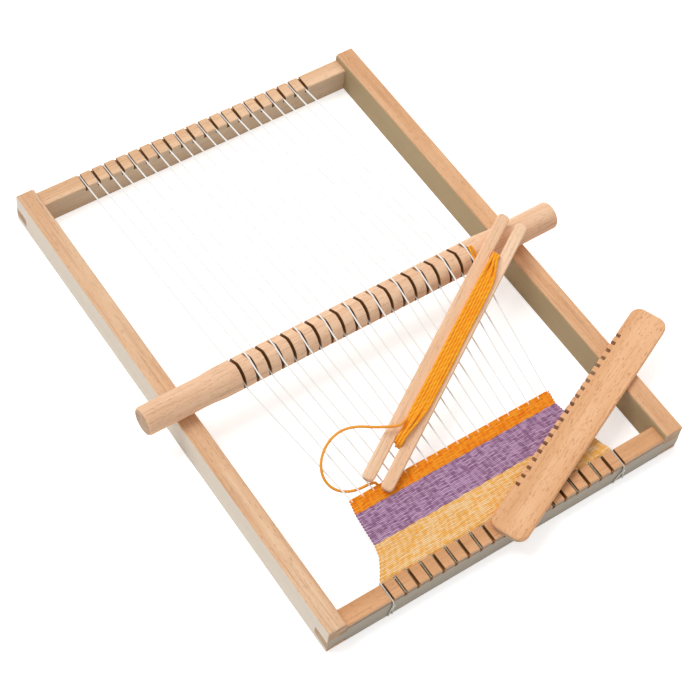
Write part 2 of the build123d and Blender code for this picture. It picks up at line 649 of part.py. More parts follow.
with BuildPart() as comb:
    with BuildSketch(COMB_TOP_PLANE):
        RectangleRounded(COMB_LENGTH, COMB_WIDTH, COMB_CORNER)
    extrude(amount=-COMB_THICKNESS)
    comb_faces = comb.faces().sort_by(Axis(COMB_TOP_PLANE.origin, COMB_TOP_PLANE.z_dir))
    chamfer(comb_faces[0].edges() + comb_faces[-1].edges(), COMB_EASE)
    with BuildSketch(COMB_TOP_PLANE):
        last = NOTCH_FIRST - NOTCH_PITCH * (NOTCH_COUNT - 1)
        with Locations(((NOTCH_FIRST + last) / 2, (COMB_WIDTH - NOTCH_DEPTH) / 2)):
            with GridLocations(NOTCH_PITCH, 1, NOTCH_COUNT, 1):
                Rectangle(NOTCH_WIDTH, NOTCH_DEPTH)
    extrude(amount=-COMB_THICKNESS, mode=Mode.SUBTRACT)
finish(comb.part, "comb")

# ---------------------------------------------------------------- what the joints need
for name, run in (("back", BACK_RUN), ("front", FRONT_RUN)):
    low = degrees(atan2(LOW_CREST_Z - WARP_HEIGHT, run))
    raised = degrees(atan2(RAISED_CREST_Z - WARP_HEIGHT, run))
    print(f"{name} spans: {low:.4f} to {raised:.4f} degrees, ratio {(raised - low) / SHED_TURN:.6f}")
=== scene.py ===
"""A small beech frame loom with a turning heddle bar, a striped cloth, a shuttle and a comb.

Metres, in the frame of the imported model: X along the beams, Y from the weaver's side to the back, Z up.
Sizes are kept in millimetres, with Y from the middle of the loom, and placed by `spot`.
"""
from __future__ import annotations

import logging
import math
import random
from dataclasses import dataclass, field
from enum import Enum

import bpy
import numpy as np
from mathutils import Matrix, Vector


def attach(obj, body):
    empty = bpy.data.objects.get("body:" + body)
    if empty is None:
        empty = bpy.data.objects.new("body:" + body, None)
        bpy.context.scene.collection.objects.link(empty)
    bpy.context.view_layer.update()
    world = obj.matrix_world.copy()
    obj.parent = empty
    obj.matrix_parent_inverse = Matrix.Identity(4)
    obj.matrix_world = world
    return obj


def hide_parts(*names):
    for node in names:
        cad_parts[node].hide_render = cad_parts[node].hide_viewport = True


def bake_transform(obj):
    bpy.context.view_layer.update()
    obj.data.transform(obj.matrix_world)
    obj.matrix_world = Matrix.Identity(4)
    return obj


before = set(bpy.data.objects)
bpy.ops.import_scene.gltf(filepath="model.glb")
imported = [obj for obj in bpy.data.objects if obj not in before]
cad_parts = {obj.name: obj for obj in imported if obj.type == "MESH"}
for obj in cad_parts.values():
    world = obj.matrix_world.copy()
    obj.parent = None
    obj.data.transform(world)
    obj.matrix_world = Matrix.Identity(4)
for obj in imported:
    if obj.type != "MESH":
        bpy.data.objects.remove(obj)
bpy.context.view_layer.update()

MM = 0.001
LOOM_MIDDLE_Y = 193.25

log = logging.getLogger("loom")

Colour = tuple[float, float, float, float]
Triple = tuple[float, float, float]
Face = tuple[int, ...]
Socket = bpy.types.NodeSocket
Sockets = bpy.types.bpy_prop_collection
Material = bpy.types.Material


def spot(x: float, y: float, z: float) -> Vector:
    """Place a point given in millimetres from the middle of the loom.

    Args:
        x: along the beams.
        y: towards the back.
        z: up from the table.

    Returns:
        The point in metres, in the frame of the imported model.
    """
    return Vector((x * MM, (y + LOOM_MIDDLE_Y) * MM, z * MM))


def paint(red: int, green: int, blue: int) -> Colour:
    """Turn a colour as it is seen on a screen into the linear one that shaders take.

    Args:
        red: 0 to 255.
        green: 0 to 255.
        blue: 0 to 255.

    Returns:
        Linear red, green, blue and full alpha.
    """
    parts = [c / 255 for c in (red, green, blue)]
    linear = [c / 12.92 if c <= 0.04045 else ((c + 0.055) / 1.055) ** 2.4 for c in parts]
    return (linear[0], linear[1], linear[2], 1.0)


# ---------------------------------------------------------------- shader wiring
class Sum(Enum):
    """Operations of the Math node that the finishes use."""

    ADD = "ADD"
    LESS = "SUBTRACT"
    TIMES = "MULTIPLY"
    SIZE = "ABSOLUTE"
    UNDER = "LESS_THAN"
    OVER = "GREATER_THAN"
    LARGER = "MAXIMUM"
    WRAP = "WRAP"


@dataclass
class Wiring:
    """A node tree that is being laid out."""

    tree: bpy.types.NodeTree

    def add(self, kind: str, **settings: object) -> bpy.types.Node:
        """Add a node.

        Args:
            kind: the node's type, without its prefix.
            settings: attributes to set on it.

        Returns:
            The new node.
        """
        node = self.tree.nodes.new("ShaderNode" + kind)
        for name, value in settings.items():
            setattr(node, name, value)
        return node

    def feed(self, socket: Socket, value: object) -> None:
        """Link a socket, or set it.

        Args:
            socket: the input.
            value: an output socket, a number or a row of numbers.
        """
        if isinstance(value, Socket):
            self.tree.links.new(value, socket)
        else:
            socket.default_value = value

    def sum(self, operation: Sum, *values: object) -> Socket:
        """Work out a number.

        Args:
            operation: what the Math node does.
            values: its inputs.

        Returns:
            The result's socket.
        """
        node = self.add("Math", operation=operation.value)
        for socket, value in zip(node.inputs, values):
            self.feed(socket, value)
        return node.outputs[0]

    def blend(self, share: object, first: object, second: object, mode: str = "MIX") -> Socket:
        """Mix two colours.

        Args:
            share: how much of the second.
            first: a colour.
            second: a colour.
            mode: how they are mixed.

        Returns:
            The mixed colour's socket.
        """
        node = self.add("MixRGB", blend_type=mode)
        self.feed(node.inputs["Fac"], share)
        self.feed(node.inputs["Color1"], first)
        self.feed(node.inputs["Color2"], second)
        return node.outputs[0]

    def stretch(self, vector: object, scale: Triple) -> Socket:
        """Scale a vector along its three axes.

        Args:
            vector: the vector's socket.
            scale: factor along each axis.

        Returns:
            The scaled vector's socket.
        """
        node = self.add("VectorMath", operation="MULTIPLY")
        self.feed(node.inputs[0], vector)
        node.inputs[1].default_value = scale
        return node.outputs[0]

    def noise(self, vector: object, scale: float = 1.0, detail: float = 2.0) -> Socket:
        """Noise between 0 and 1.

        Args:
            vector: where.
            scale: cells per unit.
            detail: octaves.

        Returns:
            The value's socket.
        """
        node = self.add("TexNoise")
        self.feed(node.inputs["Vector"], vector)
        node.inputs["Scale"].default_value = scale
        node.inputs["Detail"].default_value = detail
        return node.outputs["Fac"]

    def band(self, value: object, low: object, high: object) -> Socket:
        """Map low to 0 and high to 1, smoothly and clamped.

        Args:
            value: the number.
            low: where the result is 0.
            high: where it is 1.

        Returns:
            The result's socket.
        """
        node = self.add("MapRange", interpolation_type="SMOOTHSTEP")
        self.feed(node.inputs["Value"], value)
        self.feed(node.inputs["From Min"], low)
        self.feed(node.inputs["From Max"], high)
        return node.outputs["Result"]

    def parts(self, vector: object) -> Sockets:
        """Take a vector apart.

        Args:
            vector: the vector's socket.

        Returns:
            Its three numbers, as sockets.
        """
        node = self.add("SeparateXYZ")
        self.feed(node.inputs[0], vector)
        return node.outputs


class Put(Enum):
    """Kinds of sockets on the effect groups."""

    NUMBER = "NodeSocketFloat"
    POINT = "NodeSocketVector"
    COLOUR = "NodeSocketColor"


class EffectGroup:
    """A shared effect: a node group that is built once and placed in each material."""

    title = "effect"
    takes: dict[str, Put] = {}
    gives: dict[str, Put] = {}

    def __init__(self) -> None:
        """Build the group's sockets and its inside."""
        self.tree = bpy.data.node_groups.new(self.title, "ShaderNodeTree")
        for name, kind in self.takes.items():
            self.tree.interface.new_socket(name=name, in_out="INPUT", socket_type=kind.value)
        for name, kind in self.gives.items():
            self.tree.interface.new_socket(name=name, in_out="OUTPUT", socket_type=kind.value)
        wiring = Wiring(self.tree)
        inside = self.tree.nodes.new("NodeGroupInput")
        outside = self.tree.nodes.new("NodeGroupOutput")
        for name, socket in self.lay_out(wiring, inside.outputs).items():
            wiring.feed(outside.inputs[name], socket)

    def lay_out(self, wiring: Wiring, given: Sockets) -> dict[str, Socket]:
        """Wire the inside of the group.

        Args:
            wiring: the group's tree.
            given: the group's inputs.

        Returns:
            What each output gives.
        """
        raise NotImplementedError

    def place(self, wiring: Wiring, **values: object) -> Sockets:
        """Place the group in a material.

        Args:
            wiring: the material's tree.
            values: what its inputs take, with _ for a space.

        Returns:
            The group's outputs.
        """
        node = wiring.tree.nodes.new("ShaderNodeGroup")
        node.node_tree = self.tree
        for name, value in values.items():
            wiring.feed(node.inputs[name.replace("_", " ")], value)
        return node.outputs


class BeechGrain(EffectGroup):
    """Long-grain beech: broad streaks, fine lines and short dark rays along X."""

    title = "beech_grain"
    takes = {
        "Vector": Put.POINT, "Seed": Put.NUMBER, "Pale": Put.COLOUR, "Warm": Put.COLOUR,
        "Ray Color": Put.COLOUR, "Rays": Put.NUMBER,
    }
    gives = {"Color": Put.COLOUR, "Roughness": Put.NUMBER, "Height": Put.NUMBER}

    def lay_out(self, wiring: Wiring, given: Sockets) -> dict[str, Socket]:
        """Wire streaks, lines and rays.

        Args:
            wiring: the group's tree.
            given: the group's inputs.

        Returns:
            What each output gives.
        """
        shift = wiring.add("VectorMath", operation="ADD")
        wiring.feed(shift.inputs[0], given["Vector"])
        wiring.feed(shift.inputs[1], given["Seed"])
        here = shift.outputs[0]
        broad = wiring.noise(wiring.stretch(here, (4.0, 70.0, 70.0)), detail=3.0)
        lines = wiring.noise(wiring.stretch(here, (22.0, 850.0, 850.0)), detail=2.0)
        rays = wiring.noise(wiring.stretch(here, (230.0, 1500.0, 1500.0)), detail=1.0)
        cloudy = wiring.noise(here, 38.0, 2.0)
        tone = wiring.band(broad, 0.36, 0.66)
        wood = wiring.blend(tone, given["Pale"], given["Warm"])
        faint = wiring.sum(Sum.TIMES, wiring.band(lines, 0.5, 0.72), 0.3)
        wood = wiring.blend(faint, wood, given["Ray Color"])
        patch = wiring.sum(Sum.TIMES, wiring.band(cloudy, 0.45, 0.7), 0.35)
        wood = wiring.blend(patch, wood, given["Warm"])
        ray = wiring.band(rays, 0.6, 0.7)
        wood = wiring.blend(wiring.sum(Sum.TIMES, ray, given["Rays"]), wood, given["Ray Color"])
        rough = wiring.sum(Sum.ADD, 0.46, wiring.sum(Sum.TIMES, lines, 0.26))
        height = wiring.sum(Sum.LESS, lines, wiring.sum(Sum.TIMES, ray, 0.5))
        return {"Color": wood, "Roughness": rough, "Height": height}


class EndGrain(EffectGroup):
    """Cut ends of beech: faint rings and dense pores across the grain."""

    title = "beech_end_grain"
    takes = {"Vector": Put.POINT, "Seed": Put.NUMBER, "Tone": Put.COLOUR, "Ring Color": Put.COLOUR}
    gives = {"Color": Put.COLOUR}

    def lay_out(self, wiring: Wiring, given: Sockets) -> dict[str, Socket]:
        """Wire rings and pores.

        Args:
            wiring: the group's tree.
            given: the group's inputs.

        Returns:
            What each output gives.
        """
        shift = wiring.add("VectorMath", operation="ADD")
        wiring.feed(shift.inputs[0], given["Vector"])
        wiring.feed(shift.inputs[1], given["Seed"])
        rings = wiring.noise(wiring.stretch(shift.outputs[0], (50.0, 90.0, 620.0)), detail=2.0)
        pores = wiring.noise(shift.outputs[0], 2300.0, 1.0)
        wood = wiring.blend(wiring.band(rings, 0.42, 0.68), given["Tone"], given["Ring Color"])
        speck = wiring.sum(Sum.TIMES, wiring.band(pores, 0.55, 0.72), 0.4)
        return {"Color": wiring.blend(speck, wood, given["Ring Color"])}


class Facing(EffectGroup):
    """Where a surface looks a given way."""

    title = "facing"
    takes = {"Toward": Put.POINT, "From": Put.NUMBER, "Full": Put.NUMBER}
    gives = {"Mask": Put.NUMBER}

    def lay_out(self, wiring: Wiring, given: Sockets) -> dict[str, Socket]:
        """Compare the piece's own normal with the direction.

        Args:
            wiring: the group's tree.
            given: the group's inputs.

        Returns:
            What each output gives.
        """
        look = wiring.add("VectorMath", operation="DOT_PRODUCT")
        wiring.feed(look.inputs[0], wiring.add("TexCoord").outputs["Normal"])
        wiring.feed(look.inputs[1], given["Toward"])
        return {"Mask": wiring.band(look.outputs["Value"], given["From"], given["Full"])}


class SawSlots(EffectGroup):
    """Inside of a row of saw cuts across a piece, at an even pitch along X."""

    title = "saw_slots"
    takes = {
        "Vector": Put.POINT, "Pitch": Put.NUMBER, "Half Width": Put.NUMBER, "Floor": Put.NUMBER,
        "Reach": Put.NUMBER,
    }
    gives = {"Mask": Put.NUMBER}

    def lay_out(self, wiring: Wiring, given: Sockets) -> dict[str, Socket]:
        """Wrap X at the pitch, and keep what lies above the slots' floor.

        Args:
            wiring: the group's tree.
            given: the group's inputs.

        Returns:
            What each output gives.
        """
        place = wiring.parts(given["Vector"])
        half = wiring.sum(Sum.TIMES, given["Pitch"], 0.5)
        folded = wiring.sum(Sum.WRAP, place["X"], given["Pitch"], 0.0)
        off = wiring.sum(Sum.SIZE, wiring.sum(Sum.LESS, folded, half))
        inside = wiring.sum(Sum.UNDER, off, given["Half Width"])
        high = wiring.sum(Sum.OVER, place["Z"], given["Floor"])
        near = wiring.sum(Sum.UNDER, wiring.sum(Sum.SIZE, place["X"]), given["Reach"])
        return {"Mask": wiring.sum(Sum.TIMES, wiring.sum(Sum.TIMES, inside, high), near)}


class EdgeWear(EffectGroup):
    """Edges rubbed a little paler than the faces."""

    title = "edge_wear"
    takes = {"Radius": Put.NUMBER, "Vector": Put.POINT}
    gives = {"Mask": Put.NUMBER}

    def lay_out(self, wiring: Wiring, given: Sockets) -> dict[str, Socket]:
        """Compare the surface with its own softened edge.

        Args:
            wiring: the group's tree.
            given: the group's inputs.

        Returns:
            What each output gives.
        """
        soft = wiring.add("Bevel", samples=4)
        wiring.feed(soft.inputs["Radius"], given["Radius"])
        differ = wiring.add("VectorMath", operation="DOT_PRODUCT")
        wiring.feed(differ.inputs[0], soft.outputs["Normal"])
        wiring.feed(differ.inputs[1], wiring.add("NewGeometry").outputs["Normal"])
        edge = wiring.band(wiring.sum(Sum.LESS, 1.0, differ.outputs["Value"]), 0.01, 0.2)
        patchy = wiring.band(wiring.noise(given["Vector"], 120.0, 2.0), 0.3, 0.65)
        return {"Mask": wiring.sum(Sum.TIMES, edge, patchy)}


class Fibres(EffectGroup):
    """Spun fibres: fine streaks of two tones, with a bump."""

    title = "spun_fibres"
    takes = {"Vector": Put.POINT, "Pale": Put.COLOUR, "Deep": Put.COLOUR}
    gives = {"Color": Put.COLOUR, "Height": Put.NUMBER}

    def lay_out(self, wiring: Wiring, given: Sockets) -> dict[str, Socket]:
        """Wire the fine and the slow change of tone.

        Args:
            wiring: the group's tree.
            given: the group's inputs.

        Returns:
            What each output gives.
        """
        fine = wiring.noise(wiring.stretch(given["Vector"], (1400.0, 2600.0, 2600.0)), detail=2.0)
        slow = wiring.noise(given["Vector"], 160.0, 2.0)
        share = wiring.sum(Sum.ADD, wiring.sum(Sum.TIMES, fine, 0.7), wiring.sum(Sum.TIMES, slow, 0.5))
        colour = wiring.blend(wiring.band(share, 0.42, 0.8), given["Pale"], given["Deep"])
        return {"Color": colour, "Height": fine}


class WeaveTone(EffectGroup):
    """Tones of a weft-faced weave, from each float's crown, its own dye and the twist of its yarn."""

    title = "weave_tone"
    takes = {
        "Vector": Put.POINT, "Crown": Put.NUMBER, "Dye": Put.NUMBER, "Pale": Put.COLOUR, "Mid": Put.COLOUR,
        "Deep": Put.COLOUR, "Mottle": Put.NUMBER,
    }
    gives = {"Color": Put.COLOUR, "Height": Put.NUMBER}

    def lay_out(self, wiring: Wiring, given: Sockets) -> dict[str, Socket]:
        """Wire the dye's patches and the shade between the floats.

        Args:
            wiring: the group's tree.
            given: the group's inputs.

        Returns:
            What each output gives.
        """
        slow = wiring.noise(wiring.stretch(given["Vector"], (130.0, 800.0, 130.0)), detail=2.0)
        fibre = wiring.noise(wiring.stretch(given["Vector"], (900.0, 2600.0, 900.0)), detail=2.0)
        patch = wiring.sum(
            Sum.ADD, wiring.sum(Sum.TIMES, given["Dye"], given["Mottle"]), wiring.sum(Sum.TIMES, slow, 0.6)
        )
        tone = wiring.blend(wiring.band(patch, 0.25, 0.95), given["Pale"], given["Mid"])
        tone = wiring.blend(wiring.sum(Sum.TIMES, wiring.band(fibre, 0.5, 0.75), 0.3), tone, given["Mid"])
        gap = wiring.sum(Sum.TIMES, wiring.band(given["Crown"], 0.92, 0.5), 0.85)
        return {"Color": wiring.blend(gap, tone, given["Deep"]), "Height": fibre}


@dataclass
class Effects:
    """The shared effects, each built once."""

    grain: BeechGrain = field(default_factory=BeechGrain)
    ends: EndGrain = field(default_factory=EndGrain)
    facing: Facing = field(default_factory=Facing)
    slots: SawSlots = field(default_factory=SawSlots)
    wear: EdgeWear = field(default_factory=EdgeWear)
    fibres: Fibres = field(default_factory=Fibres)
    weave: WeaveTone = field(default_factory=WeaveTone)


def new_material(name: str) -> tuple[Material, Wiring, bpy.types.Node]:
    """Start a material.

    Args:
        name: the finish's name.

    Returns:
        The material, its wiring, and its Principled shader.
    """
    material = bpy.data.materials.new(name)
    material.use_nodes = True
    wiring = Wiring(material.node_tree)
    return material, wiring, material.node_tree.nodes["Principled BSDF"]


def raise_surface(
    wiring: Wiring, shader: bpy.types.Node, height: object, strength: float, depth: float
) -> None:
    """Give a shader a bump.

    Args:
        wiring: the material's tree.
        shader: its Principled shader.
        height: the height's socket.
        strength: share of the bump.
        depth: its depth in metres.
    """
    bump = wiring.add("Bump")
    bump.inputs["Strength"].default_value = strength
    bump.inputs["Distance"].default_value = depth
    wiring.feed(bump.inputs["Height"], height)
    wiring.feed(shader.inputs["Normal"], bump.outputs["Normal"])


@dataclass(frozen=True)
class SlotBurnAndShade:
    """Saw cuts darkened inside: saw burn, and painted shade in the recesses of the cuts."""

    floor: float
    reach: float
    pitch: float = 0.010
    half_width: float = 0.00124
    tone: Colour = paint(136, 92, 48)
    hub: tuple[float, float] | None = None
    core: float = 0.0


@dataclass(frozen=True)
class KerfShadeBand:
    """Dark band painted along the outer face of a beam: painted shade in the saw kerf there."""

    low: float
    high: float
    outward: float
    face: float
    tone: Colour = paint(112, 72, 40)


@dataclass(frozen=True)
class BeechFinish:
    """Sanded, unpainted beech with its grain along one line of the piece."""

    name: str
    seed: float
    along: Triple = (1.0, 0.0, 0.0)
    up: Triple = (0.0, 0.0, 1.0)
    pale: Colour = paint(238, 200, 164)
    warm: Colour = paint(220, 172, 130)
    rays: float = 0.35
    ray_tone: Colour = paint(150, 96, 60)
    end_tone: Colour = paint(196, 164, 132)
    end_ring: Colour = paint(158, 122, 92)
    # side and the side tone paint light and shade into the faces that look one way: a flat paler or greyer tone
    # laid over the grain, not the wood's own colour.
    side: Triple | None = None
    painted_side_lighting: Colour = paint(200, 190, 170)
    painted_side_lighting_share: float = 0.7
    slots: SlotBurnAndShade | None = None
    kerf_shade: KerfShadeBand | None = None

    def make(self, effects: Effects) -> Material:
        """Build the material.

        Args:
            effects: the shared effects.

        Returns:
            The material.
        """
        material, wiring, shader = new_material(self.name)
        along, up = Vector(self.along).normalized(), Vector(self.up)
        across = up.cross(along).normalized()
        turn = wiring.add("Mapping")
        here = wiring.add("TexCoord").outputs["Object"]
        wiring.feed(turn.inputs["Vector"], here)
        turn.inputs["Rotation"].default_value = Matrix((along, across, along.cross(across))).to_euler()
        wood = effects.grain.place(
            wiring, Vector=turn.outputs[0], Seed=self.seed, Pale=self.pale, Warm=self.warm,
            Ray_Color=self.ray_tone, Rays=self.rays,
        )
        colour = wood["Color"]
        # Painted light and shade: faces that look the side way take the flat side tone.
        if self.side is not None:
            look = effects.facing.place(wiring, Toward=self.side, From=0.55, Full=0.9)
            colour = wiring.blend(wiring.sum(Sum.TIMES, look["Mask"], self.painted_side_lighting_share), colour, self.painted_side_lighting)
        ends = effects.ends.place(
            wiring, Vector=turn.outputs[0], Seed=self.seed, Tone=self.end_tone, Ring_Color=self.end_ring
        )
        for way in (along, -along):
            look = effects.facing.place(wiring, Toward=tuple(way), From=0.72, Full=0.93)
            colour = wiring.blend(look["Mask"], colour, ends["Color"])
        edge = effects.wear.place(wiring, Radius=0.0007, Vector=here)
        colour = wiring.blend(wiring.sum(Sum.TIMES, edge["Mask"], 0.35), colour, self.pale)
        # Slot interiors darkened: partly saw burn, partly painted shade in the recesses.
        if self.slots is not None:
            cut = effects.slots.place(
                wiring, Vector=here, Pitch=self.slots.pitch, Half_Width=self.slots.half_width,
                Floor=self.slots.floor, Reach=self.slots.reach,
            )
            burn_and_shade = cut["Mask"]
            if self.slots.hub is not None:
                burn_and_shade = wiring.sum(Sum.TIMES, burn_and_shade, self.near_hub(wiring, here))
            colour = wiring.blend(burn_and_shade, colour, self.slots.tone)
        # Painted shade: a dark band along the beam's face where the kerf's shade falls.
        if self.kerf_shade is not None:
            place = wiring.parts(here)
            over = wiring.sum(Sum.OVER, place["Z"], self.kerf_shade.low)
            inside = wiring.sum(Sum.TIMES, over, wiring.sum(Sum.UNDER, place["Z"], self.kerf_shade.high))
            outside = wiring.sum(Sum.OVER, wiring.sum(Sum.TIMES, place["Y"], self.kerf_shade.outward), self.kerf_shade.face)
            colour = wiring.blend(wiring.sum(Sum.TIMES, inside, outside), colour, self.kerf_shade.tone)
        wiring.feed(shader.inputs["Base Color"], colour)
        wiring.feed(shader.inputs["Roughness"], wood["Roughness"])
        shader.inputs["Specular IOR Level"].default_value = 0.3
        raise_surface(wiring, shader, wood["Height"], 0.35, 0.00012)
        return material

    def near_hub(self, wiring: Wiring, here: Socket) -> Socket:
        """Where the surface lies close to the middle of a turned piece.

        Args:
            wiring: the material's tree.
            here: the place on the piece.

        Returns:
            The mask's socket.
        """
        place = wiring.parts(here)
        hub_y, hub_z = self.slots.hub
        off_y = wiring.sum(Sum.LESS, place["Y"], hub_y)
        off_z = wiring.sum(Sum.LESS, place["Z"], hub_z)
        square = wiring.sum(Sum.ADD, wiring.sum(Sum.TIMES, off_y, off_y), wiring.sum(Sum.TIMES, off_z, off_z))
        return wiring.band(square, self.slots.core ** 2, (self.slots.core - 0.0012) ** 2)


@dataclass(frozen=True)
class YarnFinish:
    """Spun yarn or thread, with painted shade between its plies."""

    name: str
    pale: Colour
    deep: Colour
    roughness: float = 0.85
    bump: float = 0.00015

    def make(self, effects: Effects) -> Material:
        """Build the material.

        Args:
            effects: the shared effects.

        Returns:
            The material.
        """
        material, wiring, shader = new_material(self.name)
        here = wiring.add("TexCoord").outputs["Object"]
        spun = effects.fibres.place(wiring, Vector=here, Pale=self.pale, Deep=self.deep)
        crown = wiring.add("Attribute", attribute_name="crown").outputs["Fac"]
        # Painted shade: darker towards the deep tone between the plies' crowns.
        colour = wiring.blend(wiring.band(crown, 0.75, 0.2), spun["Color"], self.deep)
        wiring.feed(shader.inputs["Base Color"], colour)
        shader.inputs["Roughness"].default_value = self.roughness
        shader.inputs["Specular IOR Level"].default_value = 0.15
        shader.inputs["Sheen Weight"].default_value = 0.15
        raise_surface(wiring, shader, spun["Height"], 0.5, self.bump)
        return material


@dataclass(frozen=True)
class WeaveFinish:
    """One colour of the cloth."""

    name: str
    pale: Colour
    mid: Colour
    deep: Colour
    mottle: float

    def make(self, effects: Effects) -> Material:
        """Build the material.

        Args:
            effects: the shared effects.

        Returns:
            The material.
        """
        material, wiring, shader = new_material(self.name)
        here = wiring.add("TexCoord").outputs["Object"]
        tone = effects.weave.place(
            wiring, Vector=here, Pale=self.pale, Mid=self.mid, Deep=self.deep, Mottle=self.mottle,
            Crown=wiring.add("Attribute", attribute_name="crown").outputs["Fac"],
            Dye=wiring.add("Attribute", attribute_name="dye").outputs["Fac"],
        )
        wiring.feed(shader.inputs["Base Color"], tone["Color"])
        shader.inputs["Roughness"].default_value = 0.88
        shader.inputs["Specular IOR Level"].default_value = 0.12
        shader.inputs["Sheen Weight"].default_value = 0.15
        raise_surface(wiring, shader, tone["Height"], 0.5, 0.00015)
        return material


# ---------------------------------------------------------------- studio
@dataclass
class Studio:
    """Camera, floor, backdrop and lamps."""

    camera_place: Triple = (-0.47752, -0.35914, 1.04881)
    camera_turn: Triple = (33.9433, -5.0020, -34.2719)
    lens: float = 93.114
    sensor: float = 36.0
    floor_half: float = 6.0
    fill: float = 0.55
    key: float = 1.4
    side: float = 1.1
    side_width: float = 0.6
    side_place: Triple = (0.62, 0.42, 0.72)

    def set_up(self) -> None:
        """Make the camera, the floor, the world and the lamps."""
        self.add_camera()
        self.add_floor()
        self.light_world()
        self.add_lamp("key_lamp", self.key, (-0.35, 0.42, 1.0), 32.0)
        self.add_side_lamp()

    def add_camera(self) -> None:
        """Stand the camera where the photograph was taken from."""
        lens = bpy.data.cameras.new("studio_camera")
        lens.lens = self.lens
        lens.sensor_width = self.sensor
        lens.clip_start = 0.01
        camera = bpy.data.objects.new("studio_camera", lens)
        camera.location = self.camera_place
        camera.rotation_euler = [math.radians(angle) for angle in self.camera_turn]
        bpy.context.scene.collection.objects.link(camera)
        bpy.context.scene.camera = camera

    def add_floor(self) -> None:
        """Lay a pale floor under the loom, white to the eye but for the soft shadow."""
        mesh = bpy.data.meshes.new("studio_floor")
        reach = self.floor_half
        corners = [(-reach, -reach, 0), (reach, -reach, 0), (reach, reach, 0), (-reach, reach, 0)]
        mesh.from_pydata(corners, [], [(0, 1, 2, 3)])
        floor = bpy.data.objects.new("studio_floor", mesh)
        bpy.context.scene.collection.objects.link(floor)
        material, wiring, shader = new_material("studio_floor")
        shader.inputs["Base Color"].default_value = (0.9, 0.9, 0.9, 1.0)
        shader.inputs["Roughness"].default_value = 1.0
        shader.inputs["Specular IOR Level"].default_value = 0.0
        shader.inputs["Emission Color"].default_value = (1.0, 1.0, 1.0, 1.0)
        path = wiring.add("LightPath")
        seen = wiring.sum(Sum.LARGER, path.outputs["Is Camera Ray"], path.outputs["Is Glossy Ray"])
        wiring.feed(shader.inputs["Emission Strength"], wiring.sum(Sum.TIMES, seen, 0.5))
        mesh.materials.append(material)

    def light_world(self) -> None:
        """Fill the room with even white light."""
        world = bpy.data.worlds.new("studio_room")
        bpy.context.scene.world = world
        world.use_nodes = True
        wiring = Wiring(world.node_tree)
        path = wiring.add("LightPath")
        seen = wiring.sum(Sum.LARGER, path.outputs["Is Camera Ray"], path.outputs["Is Glossy Ray"])
        rest = wiring.sum(Sum.TIMES, seen, 1.0 - self.fill)
        background = world.node_tree.nodes["Background"]
        background.inputs["Color"].default_value = (1.0, 1.0, 1.0, 1.0)
        wiring.feed(background.inputs["Strength"], wiring.sum(Sum.ADD, rest, self.fill))

    def add_lamp(self, name: str, strength: float, toward: Triple, spread: float) -> None:
        """Hang one wide soft lamp.

        Args:
            name: the lamp's name.
            strength: its light on the table.
            toward: where it hangs, seen from the loom.
            spread: its width in degrees.
        """
        light = bpy.data.lights.new(name, "SUN")
        light.energy = strength
        light.angle = math.radians(spread)
        lamp = bpy.data.objects.new(name, light)
        lamp.rotation_euler = Vector(toward).to_track_quat("Z", "Y").to_euler()
        bpy.context.scene.collection.objects.link(lamp)

    def add_side_lamp(self) -> None:
        """Hang a weak wide lamp on the right, which lights the near pieces there a little more."""
        light = bpy.data.lights.new("side_lamp", "AREA")
        light.energy = self.side
        light.size = self.side_width
        lamp = bpy.data.objects.new("side_lamp", light)
        lamp.location = self.side_place
        lamp.rotation_euler = Vector(self.side_place).to_track_quat("Z", "Y").to_euler()
        bpy.context.scene.collection.objects.link(lamp)


# ---------------------------------------------------------------- meshes of thread and yarn
def spline_line(route: list[Vector], steps: int = 8) -> list[Vector]:
    """Follow the smooth line that a route's points pull a spline to.

    Args:
        route: the control points, in metres.
        steps: points per run.

    Returns:
        Points along the spline.
    """
    curve = bpy.data.curves.new("route", "CURVE")
    curve.dimensions = "3D"
    curve.resolution_u = steps
    spline = curve.splines.new("NURBS")
    spline.points.add(len(route) - 1)
    for control, point in zip(spline.points, route):
        control.co = (*point, 1.0)
    spline.order_u = 3
    spline.use_endpoint_u = True
    holder = bpy.data.objects.new("route", curve)
    mesh = bpy.data.meshes.new_from_object(holder)
    line = [vertex.co.copy() for vertex in mesh.vertices]
    bpy.data.objects.remove(holder)
    bpy.data.curves.remove(curve)
    bpy.data.meshes.remove(mesh)
    return line


def even_points(line: list[Vector], spacing: float) -> np.ndarray:
    """Space points evenly along a line.

    Args:
        line: points along it.
        spacing: the wanted distance, in metres.

    Returns:
        The points, a row each.
    """
    rows = np.array([tuple(point) for point in line])
    steps = np.linalg.norm(np.diff(rows, axis=0), axis=1)
    rows = rows[np.concatenate(([True], steps > 1e-9))]
    run = np.concatenate(([0.0], np.cumsum(np.linalg.norm(np.diff(rows, axis=0), axis=1))))
    count = max(3, int(round(run[-1] / spacing)) + 1)
    places = np.linspace(0.0, run[-1], count)
    return np.stack([np.interp(places, run, rows[:, axis]) for axis in range(3)], axis=1)


